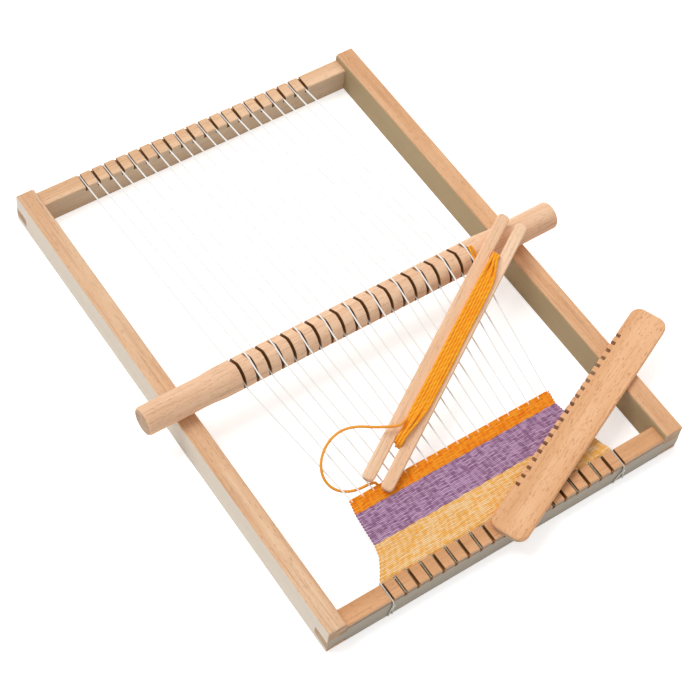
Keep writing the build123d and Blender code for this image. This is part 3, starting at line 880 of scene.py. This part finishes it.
@dataclass
class PliedTube:
    """Section of a thread or yarn that is twisted from plies."""

    radius: float
    plies: int = 2
    lay: float = 0.003
    sides: int = 8
    spacing: float = 0.0005
    waist: float = 0.34

    def sweep(self, line: list[Vector]) -> tuple[np.ndarray, list[Face], np.ndarray]:
        """Run the section along a line.

        Args:
            line: points along it, in metres.

        Returns:
            Vertices, faces, and how far each vertex stands on a ply's crown.
        """
        rows = even_points(line, self.spacing)
        tangents = np.gradient(rows, axis=0)
        tangents /= np.linalg.norm(tangents, axis=1)[:, None]
        start = np.cross(tangents[0], (0.0, 0.0, 1.0))
        if np.linalg.norm(start) < 0.1:
            start = np.cross(tangents[0], (1.0, 0.0, 0.0))
        normal = start / np.linalg.norm(start)
        step = np.linalg.norm(rows[1] - rows[0])
        angles = np.arange(self.sides) / self.sides * math.tau
        rings, crowns = [], []
        for index, (point, tangent) in enumerate(zip(rows, tangents)):
            normal = normal - tangent * normal.dot(tangent)
            normal /= np.linalg.norm(normal)
            side = np.cross(tangent, normal)
            twist = math.tau * index * step / self.lay
            crown = np.abs(np.cos(self.plies / 2 * (angles - twist)))
            reach = self.radius * (1.0 - self.waist + self.waist * crown)
            ring = np.outer(reach * np.cos(angles), normal) + np.outer(reach * np.sin(angles), side)
            rings.append(point + ring)
            crowns.append(crown)
        vertices = np.concatenate(rings)
        faces: list[Face] = []
        for row in range(len(rows) - 1):
            low, high = row * self.sides, (row + 1) * self.sides
            for k in range(self.sides):
                n = (k + 1) % self.sides
                faces.append((low + k, low + n, high + n, high + k))
        last = (len(rows) - 1) * self.sides
        faces.append(tuple(reversed(range(self.sides))))
        faces.append(tuple(range(last, last + self.sides)))
        return vertices, faces, np.concatenate(crowns)


def add_piece(
    name: str,
    vertices: np.ndarray,
    faces: list[Face],
    material: Material,
    marks: dict[str, np.ndarray],
) -> bpy.types.Object:
    """Make a smooth mesh piece.

    Args:
        name: the piece's name.
        vertices: its points, in metres.
        faces: its faces.
        material: its finish.
        marks: numbers kept on each point, for the finish.

    Returns:
        The new object.
    """
    mesh = bpy.data.meshes.new(name)
    mesh.from_pydata(vertices.tolist(), [], faces)
    for title, values in marks.items():
        layer = mesh.attributes.new(title, "FLOAT", "POINT")
        layer.data.foreach_set("value", np.asarray(values, np.float32))
    mesh.shade_smooth()
    mesh.materials.append(material)
    mesh.update()
    piece = bpy.data.objects.new(name, mesh)
    bpy.context.scene.collection.objects.link(piece)
    return piece


def add_strands(
    name: str, tube: PliedTube, lines: list[list[Vector]], material: Material
) -> bpy.types.Object:
    """Make one piece of several strands.

    Args:
        name: the piece's name.
        tube: the strands' section.
        lines: the line of each strand.
        material: their finish.

    Returns:
        The new object.
    """
    all_vertices, all_faces, all_crowns, base = [], [], [], 0
    for line in lines:
        vertices, faces, crowns = tube.sweep(line)
        all_vertices.append(vertices)
        all_faces += [tuple(index + base for index in face) for face in faces]
        all_crowns.append(crowns)
        base += len(vertices)
    crown = np.concatenate(all_crowns)
    return add_piece(name, np.concatenate(all_vertices), all_faces, material, {"crown": crown})


# ---------------------------------------------------------------- shuttle and its yarn
@dataclass
class ShuttlePlace:
    """Where the shuttle lies, slanting down from the heddle bar."""

    middle: tuple[float, float] = (37.85, -70.6)
    heading: float = 30.4
    slope: float = 0.248
    rest_z: float = 51.3
    bar_y: float = -13.7
    half_thickness: float = 2.0

    def __post_init__(self) -> None:
        """Work out the shuttle's own axes."""
        turned = math.radians(self.heading)
        self.up = Vector((0.0, -self.slope, 1.0)).normalized()
        self.along = Vector((math.cos(turned), math.sin(turned), self.slope * math.sin(turned))).normalized()
        self.across = self.up.cross(self.along)
        under_z = self.rest_z + self.slope * (self.middle[1] - self.bar_y)
        self.origin = Vector((*self.middle, under_z)) + self.up * self.half_thickness

    def on(self, along: float, across: float, up: float) -> Vector:
        """Place a point of the shuttle's own frame, in millimetres.

        Args:
            along: towards its far tip.
            across: towards its left.
            up: off its middle.

        Returns:
            The point in metres.
        """
        return spot(*(self.origin + self.along * along + self.across * across + self.up * up))


@dataclass
class WeftTail:
    """Loose stretch of weft, from the winding round the outer warp thread into the edge of the cloth."""

    place: ShuttlePlace
    diameter: float = 0.002
    length: float = 0.132
    lift: tuple[Triple, ...] = ((-58.0, 2.3, 2.8), (-61.0, 2.3, 2.8), (-65.5, 3.2, 5.2), (-71.5, 4.8, 8.0))
    sway: tuple[Triple, ...] = (
        (-33.5, -101.5, 39.3), (-42.0, -97.4, 40.3), (-50.5, -91.4, 40.4), (-59.5, -88.1, 39.6),
        (-68.0, -88.2, 37.6), (-76.0, -91.2, 34.4), (-82.5, -96.6, 30.0), (-85.4, -103.4, 25.0),
        (-84.2, -109.8, 20.2), (-79.8, -115.2, 17.0), (-73.2, -119.0, 15.8), (-66.2, -120.8, 16.0),
        (-60.2, -121.4, 17.0), (-56.2, -122.6, 18.1), (-55.5, -124.2, 18.5), (-55.5, -125.5, 18.5),
    )

    def build(self, material: Material) -> None:
        """Lay the yarn as one strand.

        Args:
            material: the yarn's finish.
        """
        route = [self.place.on(*point) for point in self.lift] + [spot(*point) for point in self.sway]
        line = spline_line(route)
        tube = PliedTube(self.diameter / 2, plies=2, lay=0.0042, sides=12, spacing=0.0003, waist=0.1)
        piece = add_strands("weft_tail_yarn", tube, [line], material)
        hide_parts("weft_tail")
        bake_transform(piece)
        log.info("weft tail laid")


@dataclass
class Winding:
    """Orange yarn wound on the shuttle between its forks."""

    place: ShuttlePlace
    radius: float = 1.06
    lanes: tuple[float, ...] = (2.3, 0.4, -1.5, -3.4, -5.3, -7.2)
    columns: tuple[int, ...] = (1, 1, 0, 0, -1, -1)
    outer: tuple[bool, ...] = (True, False, False, True, False, True)
    layer: float = 1.87
    turn_at: float = 76.3
    start: float = 58.0
    end: float = 30.0
    step: float = 20.0
    sway: float = 0.22
    near_fan: float = 32.0
    far_fan: float = 20.0
    seed: int = 7

    def height(self, index: int) -> float:
        """Height of a strand's half turns off the middle of the shuttle."""
        low = self.place.half_thickness + self.radius
        return low + self.layer if self.outer[index] else low

    def fan(self, index: int, end: int, face: int) -> list[Triple]:
        """Points of a strand from its half turn inwards.

        Args:
            index: which strand.
            end: 1 at the far fork, -1 at the near one.
            face: 1 on the upper face, -1 on the lower one.

        Returns:
            Points in the shuttle's own frame.
        """
        low = self.place.half_thickness + self.radius
        up, column, lane = face * self.height(index), self.columns[index] * self.layer, self.lanes[index]
        reach = self.far_fan if end > 0 else self.near_fan
        level = (abs(up), abs(up), abs(up) - 0.4 * (abs(up) - low), low)
        places = zip((1.0 / reach, 0.35, 0.7, 1.0), (0.0, 0.4, 0.8, 1.0), level)
        return [
            (end * (self.turn_at - inward * reach), column + (lane - column) * moved, face * height)
            for inward, moved, height in places
        ]

    def half_turn(self, index: int, end: int, face: int) -> list[Triple]:
        """Lead a strand through a fork, from one face to the other.

        Args:
            index: which strand.
            end: 1 at the far fork, -1 at the near one.
            face: 1 from the upper face, -1 from the lower one.

        Returns:
            Points in the shuttle's own frame.
        """
        up, column = self.height(index), self.columns[index] * self.layer
        bulge = ((0.75, 0.95), (1.0, 0.45), (1.0, -0.45), (0.75, -0.95))
        return [(end * (self.turn_at + up * out), column, face * up * h) for out, h in bulge]

    def across_face(self, index: int, face: int, way: int, draw: random.Random) -> list[Triple]:
        """Lead a strand along the middle of a face, swaying a little.

        Args:
            index: which strand.
            face: 1 on the upper face, -1 on the lower one.
            way: 1 towards the far fork, -1 towards the near one.
            draw: source of the sway.

        Returns:
            Points in the shuttle's own frame.
        """
        low = self.place.half_thickness + self.radius
        places = [way * station for station in (-40.0, -14.0, 14.0, 40.0)]
        return [(u, self.lanes[index] + draw.uniform(-self.sway, self.sway), face * low) for u in places]

    def build(self, material: Material) -> None:
        """Wind one strand from its start to its end.

        Args:
            material: the yarn's finish.
        """
        draw = random.Random(self.seed)
        low = self.place.half_thickness + self.radius
        route: list[Triple] = [(-self.start, self.lanes[0], low)]
        route += self.across_face(0, 1, 1, draw)[1:] + self.fan(0, 1, 1)[::-1]
        for index in range(len(self.lanes)):
            route += self.half_turn(index, 1, 1) + self.fan(index, 1, -1)
            if index < len(self.lanes) - 1:
                route += [(self.step, self.lanes[index], -low), (-self.step, self.lanes[index + 1], -low)]
                route += self.fan(index + 1, -1, -1)[::-1] + self.half_turn(index + 1, -1, -1)
                route += self.fan(index + 1, -1, 1) + self.across_face(index + 1, 1, 1, draw)
                route += self.fan(index + 1, 1, 1)[::-1]
            else:
                route.append((self.end, self.lanes[index], -low))
        line = spline_line([self.place.on(*point) for point in route], 6)
        tube = PliedTube(self.radius * MM, plies=2, lay=0.011, sides=10, spacing=0.0005, waist=0.06)
        piece = add_strands("shuttle_yarn", tube, [line], material)
        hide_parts("shuttle_winding")
        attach(piece, "shuttle")
        log.info("shuttle wound")


@dataclass
class YarnEnd:
    """Doubled first end of the yarn, which hangs from under the shuttle over the bar."""

    place: ShuttlePlace
    radius: float = 0.85
    strands: tuple[float, float] = (95.0, 97.4)
    splay: float = 0.2
    start: float = -12.9
    drop: float = 2.0
    sag: tuple[tuple[float, float], ...] = ((-7.9, 46.2), (-3.7, 48.5), (-0.9, 48.9))

    def leg(self, x: float) -> list[Vector]:
        """Lead one strand from the shuttle's lower face to the loop's end.

        Args:
            x: where it leaves the shuttle.

        Returns:
            Its points, in metres.
        """
        top = Vector((x, self.place.bar_y + self.start, self.place.rest_z + self.place.slope * self.start))
        below = top - self.place.up * self.drop
        over = [(x + self.splay * (k + 1), self.place.bar_y + y, z) for k, (y, z) in enumerate(self.sag)]
        return [spot(*top), spot(*below)] + [spot(*point) for point in over]

    def build(self, material: Material) -> None:
        """Lay both strands as one loop.

        Args:
            material: the yarn's finish.
        """
        line = spline_line(self.leg(self.strands[0]) + self.leg(self.strands[1])[::-1])
        tube = PliedTube(self.radius * MM, plies=2, lay=0.0048, sides=10, spacing=0.0004, waist=0.2)
        piece = add_strands("yarn_first_end", tube, [line], material)
        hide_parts("yarn_end")
        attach(piece, "shuttle")
        log.info("yarn's first end laid")


# ---------------------------------------------------------------- warp
@dataclass
class Warp:
    """Cotton warp: twenty threads in two sheds, their turns behind the pegs and two tied ends."""

    radius: float = 0.6
    count: int = 20
    pitch: float = 10.0
    hug: float = 0.7
    height: float = 18.5
    inner_y: float = 186.5
    fell_y: float = -125.5
    cloth_start_y: float = -185.0
    bar_y: float = -13.7
    low_crest: float = 36.5
    high_crest: float = 47.55
    lap: float = 1.3
    fan_bend: float = 13.0
    fell_first: float = -77.0
    fell_pitch: float = 8.59
    turn_out: float = 12.35
    turn_drop: float = 0.8
    face_y: float = -200.65
    knot_y: float = -201.3
    knot_z: float = 13.4
    knot_steps: int = 24
    over_edge: tuple[tuple[float, float], ...] = (
        (-197.0, 18.1), (-199.8, 18.0), (-200.65, 17.2), (-200.65, 15.0),
    )
    left_legs: tuple[float, float] = (-2.2, 0.9)
    right_legs: tuple[float, float] = (-5.6, 2.6)

    def slot_x(self, index: int) -> float:
        """Middle of a slot."""
        return self.pitch * (index - (self.count - 1) / 2)

    def hug_x(self, index: int, side: int) -> float:
        """A thread lies against the peg that it goes round, on side 1 at the back and -1 at the front."""
        return self.slot_x(index) + side * (self.hug if index % 2 == 0 else -self.hug)

    def tube(self) -> PliedTube:
        """Section of the thread."""
        return PliedTube(self.radius * MM, plies=2, lay=0.003, sides=8, spacing=0.0005, waist=0.14)

    def back_line(self, index: int, crest: float) -> list[Vector]:
        """Lead a thread from the back beam to just past the bar.

        Args:
            index: which thread.
            crest: its height over the bar's axis.

        Returns:
            Its points, in metres.
        """
        x = self.hug_x(index, 1)
        start, end = Vector((x, self.inner_y, self.height)), Vector((x, self.bar_y, crest))
        past = end + (end - start).normalized() * self.lap
        return [spot(*start), spot(*start.lerp(past, 0.5)), spot(*past)]

    def front_line(self, index: int, crest: float) -> list[Vector]:
        """Lead a thread from the edge of the cloth to just past the bar, fanned out.

        Args:
            index: which thread.
            crest: its height over the bar's axis.

        Returns:
            Its points, in metres.
        """
        x = self.hug_x(index, 1)
        inside = Vector((self.fell_first + self.fell_pitch * index, self.fell_y - 2.5, self.height))
        start = Vector((inside.x, self.fell_y, self.height))
        end = Vector((x, self.bar_y, crest))
        slope = (crest - self.height) / (self.bar_y - self.fell_y)
        bend = Vector((x, self.bar_y - self.fan_bend, crest - slope * self.fan_bend))
        past = end + Vector((0.0, 1.0, slope)).normalized() * self.lap
        near, far = bend.lerp(start, 0.08), bend.lerp(past, 0.3)
        points = (inside, start, start.lerp(near, 0.5), near, bend, far, past)
        return spline_line([spot(*point) for point in points], 4)

    def turn_line(self, left: int, side: int, start_y: float) -> list[Vector]:
        """Lead a thread out along a slot, behind a peg and back in.

        Args:
            left: the slot on the left of the peg.
            side: 1 at the back beam, -1 at the front one.
            start_y: where the turn starts and ends.

        Returns:
            Its points, in metres.
        """
        xs = self.hug_x(left, side), self.hug_x(left + 1, side)
        y, z = side * (self.inner_y + self.turn_out), self.height - self.turn_drop
        out = [
            (xs[0], start_y, self.height), (xs[0], y - side * 4.0, z + 0.2),
            (xs[0], y - side * 0.9, z), (xs[0], y, z),
        ]
        back = [(xs[1], py, pz) for _, py, pz in out[::-1]]
        peg = [(xs[0] + 0.9, y, z), (xs[1] - 0.9, y, z)]
        return spline_line([spot(*point) for point in out + peg + back], 6)

    def add_shed(self, name: str, first: int, crest: float, back: bool, material: Material) -> None:
        """Make every other thread on one side of the bar.

        Args:
            name: the node that they stand for, which is also their body.
            first: the first thread.
            crest: their height over the bar's axis.
            back: whether they lie behind the bar.
            material: their finish.
        """
        laid = self.back_line if back else self.front_line
        lines = [laid(index, crest) for index in range(first, self.count, 2)]
        piece = add_strands(name + "_threads", self.tube(), lines, material)
        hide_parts(name)
        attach(piece, name)

    def add_turns(self, name: str, first: int, side: int, start_y: float, material: Material) -> None:
        """Make the turns behind one beam's pegs.

        Args:
            name: the node that they stand for.
            first: the first turn's left slot.
            side: 1 at the back beam, -1 at the front one.
            start_y: where the turns start and end.
            material: their finish.
        """
        lines = [self.turn_line(left, side, start_y) for left in range(first, self.count - 1, 2)]
        piece = add_strands(name + "_threads", self.tube(), lines, material)
        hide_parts(name)
        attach(piece, "frame")

    def add_tied_end(self, name: str, index: int, legs: tuple[float, float], material: Material) -> None:
        """Draw an outer thread over the front beam, knot it and let its two ends hang.

        Args:
            name: the node that it stands for.
            index: which thread.
            legs: how far sideways the two ends reach.
            material: its finish.
        """
        x = self.slot_x(index)
        over = [(x, self.cloth_start_y, self.height)] + [(x, y, z) for y, z in self.over_edge]
        over.append((x, self.knot_y, self.knot_z + 0.6))
        knot = []
        for k in range(self.knot_steps + 1):
            t = math.tau * k / self.knot_steps
            knot.append((
                x + 0.3 * (math.sin(t) + 2 * math.sin(2 * t)),
                self.knot_y - 0.28 * math.sin(3 * t),
                self.knot_z + 0.3 * (math.cos(t) - 2 * math.cos(2 * t)),
            ))
        routes = ((over, 6), (knot, 4))
        lines = [spline_line([spot(*point) for point in route], steps) for route, steps in routes]
        for reach in legs:
            leg = [
                (x, self.knot_y, self.knot_z - 0.4), (x + reach * 0.25, self.face_y, 10.2),
                (x + reach * 0.8, self.face_y, 5.0), (x + reach, self.face_y, 1.2),
            ]
            lines.append(spline_line([spot(*point) for point in leg], 8))
        piece = add_strands(name + "_thread", self.tube(), lines, material)
        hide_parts(name)
        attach(piece, "frame")

    def build(
        self, material: Material, shaded: Material, knotted: Material
    ) -> None:
        """Warp the loom.

        Args:
            material: finish of the free threads.
            shaded: of the threads down in the front slots, a darker copy of the white cotton for painted shade.
            knotted: of the two tied ends, a greyer copy of the white cotton for painted shade.
        """
        self.add_shed("warp_low_back", 0, self.low_crest, True, material)
        self.add_shed("warp_low_front", 0, self.low_crest, False, material)
        self.add_shed("warp_high_back", 1, self.high_crest, True, material)
        self.add_shed("warp_high_front", 1, self.high_crest, False, material)
        self.add_turns("warp_back_turns", 0, 1, self.inner_y, material)
        self.add_turns("warp_front_turns", 1, -1, self.cloth_start_y, shaded)
        self.add_tied_end("warp_end_left", 0, self.left_legs, knotted)
        self.add_tied_end("warp_end_right", self.count - 1, self.right_legs, knotted)
        log.info("loom warped")


# ---------------------------------------------------------------- cloth
FAR_BELOW = 5.0  # millimetres, under anything of the cloth


@dataclass
class ClothStripe:
    """One stripe of the cloth: a weft-faced plain weave over the warp."""

    name: str
    slot: str
    from_y: float
    to_y: float
    edges: tuple[tuple[float, float], ...]
    picks: int
    seed: int
    notch: float = 0.0
    ripples: tuple[float, float] = (0.0, 0.0)
    ridges: float = 0.0
    middle_z: float = 18.5
    yarn: float = 0.61
    rise: float = 0.07
    first_warp: float = -0.093
    warps: float = 19.19
    grain_x: float = 0.42
    grain_y: float = 0.14
    rim: float = 0.9
    loop: float = 0.8
    loop_picks: float = 2.0
    ripple_reach: float = 0.32
    tuck: float = 0.0
    tuck_reach: float = 0.8
    notch_reach: float = 0.8
    relief: float = 0.05
    ridge_pitch: float = 3.1
    ridge_reach: float = 8.0
    ridge_height: float = 0.05
    left_lift: float = 0.35
    left_reach: float = 14.0
    edge_reach: float = 1.5
    edge_margin: float = 1.2
    edge_steps: tuple[float, ...] = (0.0, 0.15, 0.35, 0.6, 0.9)
    unevenness: float = 0.03
    jog: float = 0.3
    spare_picks: int = 4
    lanes: int = 24
    dash_lanes: int = 44
    cluster: int = 3

    def edge_x(self, t: np.ndarray, which: int) -> np.ndarray:
        """X of an edge, t from 0 at the stripe's start to 1 at its end."""
        return np.interp(t, np.linspace(0.0, 1.0, len(self.edges)), [edge[which] for edge in self.edges])

    def weave(
        self, warp: np.ndarray, pick: np.ndarray, parity: int, lift: np.ndarray
    ) -> tuple[np.ndarray, np.ndarray]:
        """Height of one face over the middle of the cloth.

        Args:
            warp: place across the warp, in threads.
            pick: place along it, in picks.
            parity: which picks lie over the even threads.
            lift: how strongly the yarn rises over a thread.

        Returns:
            The height, and the pick on top, as arrays.
        """
        pitch = abs(self.from_y - self.to_y) / self.picks
        best = np.full(warp.shape, -2.0 * FAR_BELOW)
        top = np.zeros(warp.shape)
        nearest = np.floor(pick)
        for shift in (-2, -1, 0, 1, 2):
            row = nearest + shift
            off = (pick - row - 0.5) * pitch
            round_part = np.sqrt(np.clip(self.yarn ** 2 - off ** 2, 0.0, None))
            outside = (np.abs(off) > self.yarn) * FAR_BELOW
            height = round_part + lift * np.cos(np.pi * (warp + row + parity)) - outside
            over = height > best
            best = np.where(over, height, best)
            top = np.where(over, row, top)
        return best, top

    def build(self, material: Material) -> None:
        """Make the stripe's two faces and close them at the edges.

        Args:
            material: the stripe's finish.
        """
        depth = abs(self.from_y - self.to_y)
        rows = int(depth / self.grain_y) + 1
        near_edge = np.array(self.edge_steps)
        width = self.edges[0][1] - self.edges[0][0]
        body = np.linspace(self.edge_margin, width - self.edge_margin, int(width / self.grain_x))
        across = np.concatenate((near_edge, body, (width - near_edge)[::-1])) / width
        s, t = np.meshgrid(across, np.linspace(0.0, 1.0, rows))
        left, right = self.edge_x(t, 0), self.edge_x(t, 1)
        pick = t * self.picks
        warp = self.first_warp + s * self.warps
        scallop = self.loop * np.abs(np.sin(np.pi * pick / self.loop_picks)) ** 0.7
        x = left + s * (right - left)
        gap = np.minimum(x - left, right - x)
        ease = np.exp(-gap / self.edge_reach)
        x = x + np.where(s < 0.5, -1.0, 1.0) * scallop * ease
        thick = np.sqrt(np.clip(1.0 - np.clip((self.rim - gap) / self.rim, 0.0, 1.0) ** 2, 0.0, 1.0))
        y = self.from_y - t * depth + (1.0 - t) * self.ripple(warp, 0) + t * self.ripple(warp, 1)
        bite = np.abs(np.sin(np.pi * warp / 2)) ** 24
        y = y - self.notch * bite * np.exp(-t * depth / self.notch_reach)
        inward = x - left
        lift = self.rise * (1.0 + self.left_lift * np.exp(-inward / self.left_reach))
        ridge = self.ridges * np.cos(math.tau * inward / self.ridge_pitch) * np.exp(-inward / self.ridge_reach)
        draw = np.random.default_rng(self.seed)
        dashes = self.dashes(draw)
        wander = draw.normal(0.0, self.unevenness, (self.picks + self.spare_picks, self.lanes))
        jog = draw.uniform(-self.jog, self.jog, self.picks + self.spare_picks)
        column = np.floor(2.0 * warp)
        wave = 0.5 - 0.5 * np.cos(math.tau * 2.0 * warp + 0.8 * np.sin(0.5 * pick + 1.7 * column))
        sheets, crowns, dyes = [], [], []
        for parity, way in ((0, 1.0), (1, -1.0)):
            height, top = self.weave(warp, pick, parity, lift)
            row = np.clip(top + 2, 0, self.picks + self.spare_picks - 1).astype(int)
            lane = np.clip(np.round(warp), 0, self.lanes - 1).astype(int)
            height = height + wander[row, lane] + self.ridge_height * ridge + self.relief * (0.5 - wave)
            height = height * thick
            place = np.floor(2.0 * warp + 2.0 + jog[row])
            z = self.middle_z + way * height - self.tuck * np.exp((t - 1.0) * depth / self.tuck_reach)
            sheets.append(np.stack([x * MM, (y + LOOM_MIDDLE_Y) * MM, z * MM], axis=-1).reshape(-1, 3))
            crowns.append(np.clip(height / (self.yarn + self.rise), 0.0, 1.0).ravel())
            dash = dashes[row, np.clip(place, 0, self.dash_lanes - 1).astype(int)]
            dye = (0.1 + dash) * (0.45 + 0.55 * wave) + 0.4 * ridge
            dyes.append(np.clip(dye, 0.0, 1.0).ravel())
        columns = len(across)
        faces = self.skin(rows, columns)
        marks = {"crown": np.concatenate(crowns), "dye": np.concatenate(dyes)}
        piece = add_piece(self.name + "_weave", np.concatenate(sheets), faces, material, marks)
        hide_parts(self.name)
        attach(piece, "frame")
        log.info("%s woven", self.name)

    def ripple(self, warp: np.ndarray, which: int) -> np.ndarray:
        """Work out how far an edge of the stripe strays from straight.

        Args:
            warp: place across the warp, in threads.
            which: 0 for the stripe's first edge, 1 for its last.

        Returns:
            The offset along Y.
        """
        phase = self.ripples[which]
        if not phase:
            return np.zeros(warp.shape)
        wave = 0.55 * np.sin(math.tau * warp + phase) + 0.45 * np.sin(math.tau * 0.43 * warp + 2.1 * phase)
        return self.ripple_reach * wave

    def dashes(self, draw: np.random.Generator) -> np.ndarray:
        """Work out how dark the short floats are, clustered along the warp.

        Args:
            draw: source of the chances.

        Returns:
            Numbers from 0 to 1, a row for each pick.
        """
        rows, columns = self.picks + self.spare_picks, self.dash_lanes
        clusters = np.repeat(draw.random((rows // self.cluster + 1, columns)), self.cluster, axis=0)[:rows]
        clusters[:, 1::2] *= 0.55
        return np.clip(0.5 * clusters + 1.1 * draw.random((rows, columns)) ** 1.5 - 0.3, 0.0, 1.0)

    def skin(self, rows: int, columns: int) -> list[Face]:
        """Faces of both sides and of the rim between them.

        Args:
            rows: points along the stripe.
            columns: points across it.

        Returns:
            The faces.
        """
        under = rows * columns
        faces: list[Face] = []
        for r in range(rows - 1):
            for c in range(columns - 1):
                a, b = r * columns + c, (r + 1) * columns + c
                faces.append((a, b, b + 1, a + 1))
                faces.append((under + a, under + a + 1, under + b + 1, under + b))
        for r in (0, rows - 1):
            for c in range(columns - 1):
                a = r * columns + c
                rim = (a, a + 1, under + a + 1, under + a)
                faces.append(rim if r == 0 else rim[::-1])
        for c in (0, columns - 1):
            for r in range(rows - 1):
                a, b = r * columns + c, (r + 1) * columns + c
                rim = (a, under + a, under + b, b)
                faces.append(rim if c == 0 else rim[::-1])
        return faces


@dataclass
class Cloth:
    """The three stripes woven so far."""

    stripes: tuple[ClothStripe, ...] = (
        ClothStripe(
            "cloth_orange_stripe", "orange_weft", -125.5, -136.7, ((-77.8, 87.1), (-80.2, 85.0)), 10, 3, 0.25,
            ripples=(0.0, 1.0),
        ),
        ClothStripe(
            "cloth_purple_stripe", "purple_weft", -136.7, -161.3,
            ((-80.2, 85.0), (-81.3, 87.2), (-82.2, 89.1)), 22, 5, ripples=(1.0, 2.2),
        ),
        ClothStripe(
            "cloth_yellow_stripe", "yellow_weft", -161.3, -186.4,
            ((-82.2, 89.1), (-84.4, 90.4), (-89.6, 92.4), (-95.8, 95.8)), 22, 9, ripples=(2.2, 0.0), ridges=1.0,
            tuck=1.7,
        ),
    )

    def build(self, effects: Effects) -> None:
        """Weave the stripes, each in its own yarn.

        Args:
            effects: the shared effects.
        """
        finishes = (
            WeaveFinish("orange_weave", paint(255, 170, 44), paint(242, 134, 14), paint(214, 100, 4), 0.7),
            WeaveFinish("purple_weave", paint(208, 170, 202), paint(156, 114, 148), paint(118, 80, 110), 0.85),
            WeaveFinish("yellow_weave", paint(252, 222, 174), paint(250, 186, 92), paint(222, 162, 84), 0.9),
        )
        for stripe, finish in zip(self.stripes, finishes):
            stripe.build(finish.make(effects))


# ---------------------------------------------------------------- wood
@dataclass
class Woodwork:
    """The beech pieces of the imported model, each dressed with its own grain."""

    place: ShuttlePlace
    comb_heading: float = 23.2
    comb_slope: float = 0.0362

    def finishes(self) -> dict[str, BeechFinish]:
        """Choose the finish of each wooden node.

        Returns:
            A finish for each node's name.
        """
        lengthways, left, front = (0.0, 1.0, 0.0), (-1.0, 0.0, 0.0), (0.0, -1.0, 0.0)
        turned = math.radians(self.comb_heading)
        comb_along = (math.cos(turned), math.sin(turned), self.comb_slope)
        return {
            # The side tones here are painted light and shade: the left rail's outer face paler, and the right
            # rail's inner face and both beams' front faces greyer and darker.
            "left_side_rail": BeechFinish(
                "left_rail_beech", 1.3, lengthways, side=left, painted_side_lighting=paint(226, 218, 204), painted_side_lighting_share=0.85
            ),
            "right_side_rail": BeechFinish(
                "right_rail_beech", 4.1, lengthways, pale=paint(230, 181, 138), warm=paint(215, 162, 118),
                side=left, painted_side_lighting=paint(164, 148, 112), painted_side_lighting_share=0.85,
            ),
            "front_beam": BeechFinish(
                "front_beam_beech", 7.7, pale=paint(226, 171, 124), warm=paint(208, 152, 104),
                side=front, painted_side_lighting=paint(168, 166, 154), painted_side_lighting_share=0.85,
                slots=SlotBurnAndShade(0.0154, 0.0975), kerf_shade=KerfShadeBand(0.0170, 0.0183, -1.0, 0.0048),
            ),
            "back_beam": BeechFinish(
                "back_beam_beech", 9.2, pale=paint(240, 200, 162), warm=paint(224, 178, 136),
                side=front, painted_side_lighting=paint(186, 172, 148), painted_side_lighting_share=0.6,
                slots=SlotBurnAndShade(0.0154, 0.0975), kerf_shade=KerfShadeBand(0.0170, 0.0183, 1.0, 0.3912),
            ),
            "heddle_bar": BeechFinish(
                "heddle_bar_beech", 12.4, pale=paint(250, 210, 174), warm=paint(233, 186, 148), rays=0.3,
                slots=SlotBurnAndShade(0.0, 0.0975, hub=(0.17955, 0.0359), core=0.0110),
            ),
            "shuttle": BeechFinish(
                "shuttle_beech", 15.8, tuple(self.place.along), tuple(self.place.up),
                pale=paint(252, 216, 182), warm=paint(240, 194, 154), rays=0.3,
            ),
            "comb": BeechFinish(
                "comb_beech", 19.5, comb_along, pale=paint(240, 188, 142), warm=paint(227, 171, 122), rays=0.7,
                ray_tone=paint(184, 120, 80),
            ),
        }

    def dress(self, effects: Effects) -> None:
        """Give every wooden node its finish.

        Args:
            effects: the shared effects.
        """
        for node, finish in self.finishes().items():
            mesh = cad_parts[node].data
            mesh.materials.clear()
            mesh.materials.append(finish.make(effects))
            log.info("%s dressed", node)


def main() -> None:
    """Build the studio and the loom."""
    logging.basicConfig(level=logging.INFO, format="%(name)s: %(message)s")
    bpy.context.scene.view_settings.view_transform = "Standard"
    Studio().set_up()
    effects = Effects()
    place = ShuttlePlace()
    # The loose tail's finish is a paler copy of the wound yarn's: painted light on the same yarn.
    lit_loose_yarn = YarnFinish("lit_loose_orange_yarn", paint(255, 184, 84), paint(248, 160, 54))
    WeftTail(place).build(lit_loose_yarn.make(effects))
    wound_yarn = YarnFinish("wound_orange_yarn", paint(255, 186, 50), paint(248, 154, 20)).make(effects)
    Winding(place).build(wound_yarn)
    YarnEnd(place).build(wound_yarn)
    # The second and third cotton finishes are darker copies of the first: painted shade on the threads down in
    # the slots and on the tied ends.
    Warp().build(
        YarnFinish("white_cotton", paint(255, 255, 253), paint(250, 249, 246)).make(effects),
        YarnFinish("slot_shaded_cotton", paint(206, 200, 180), paint(150, 138, 108)).make(effects),
        YarnFinish("knotted_shaded_cotton", paint(242, 240, 234), paint(206, 203, 192)).make(effects),
    )
    Cloth().build(effects)
    Woodwork(place).dress(effects)


if __name__ == "__main__":
    main()
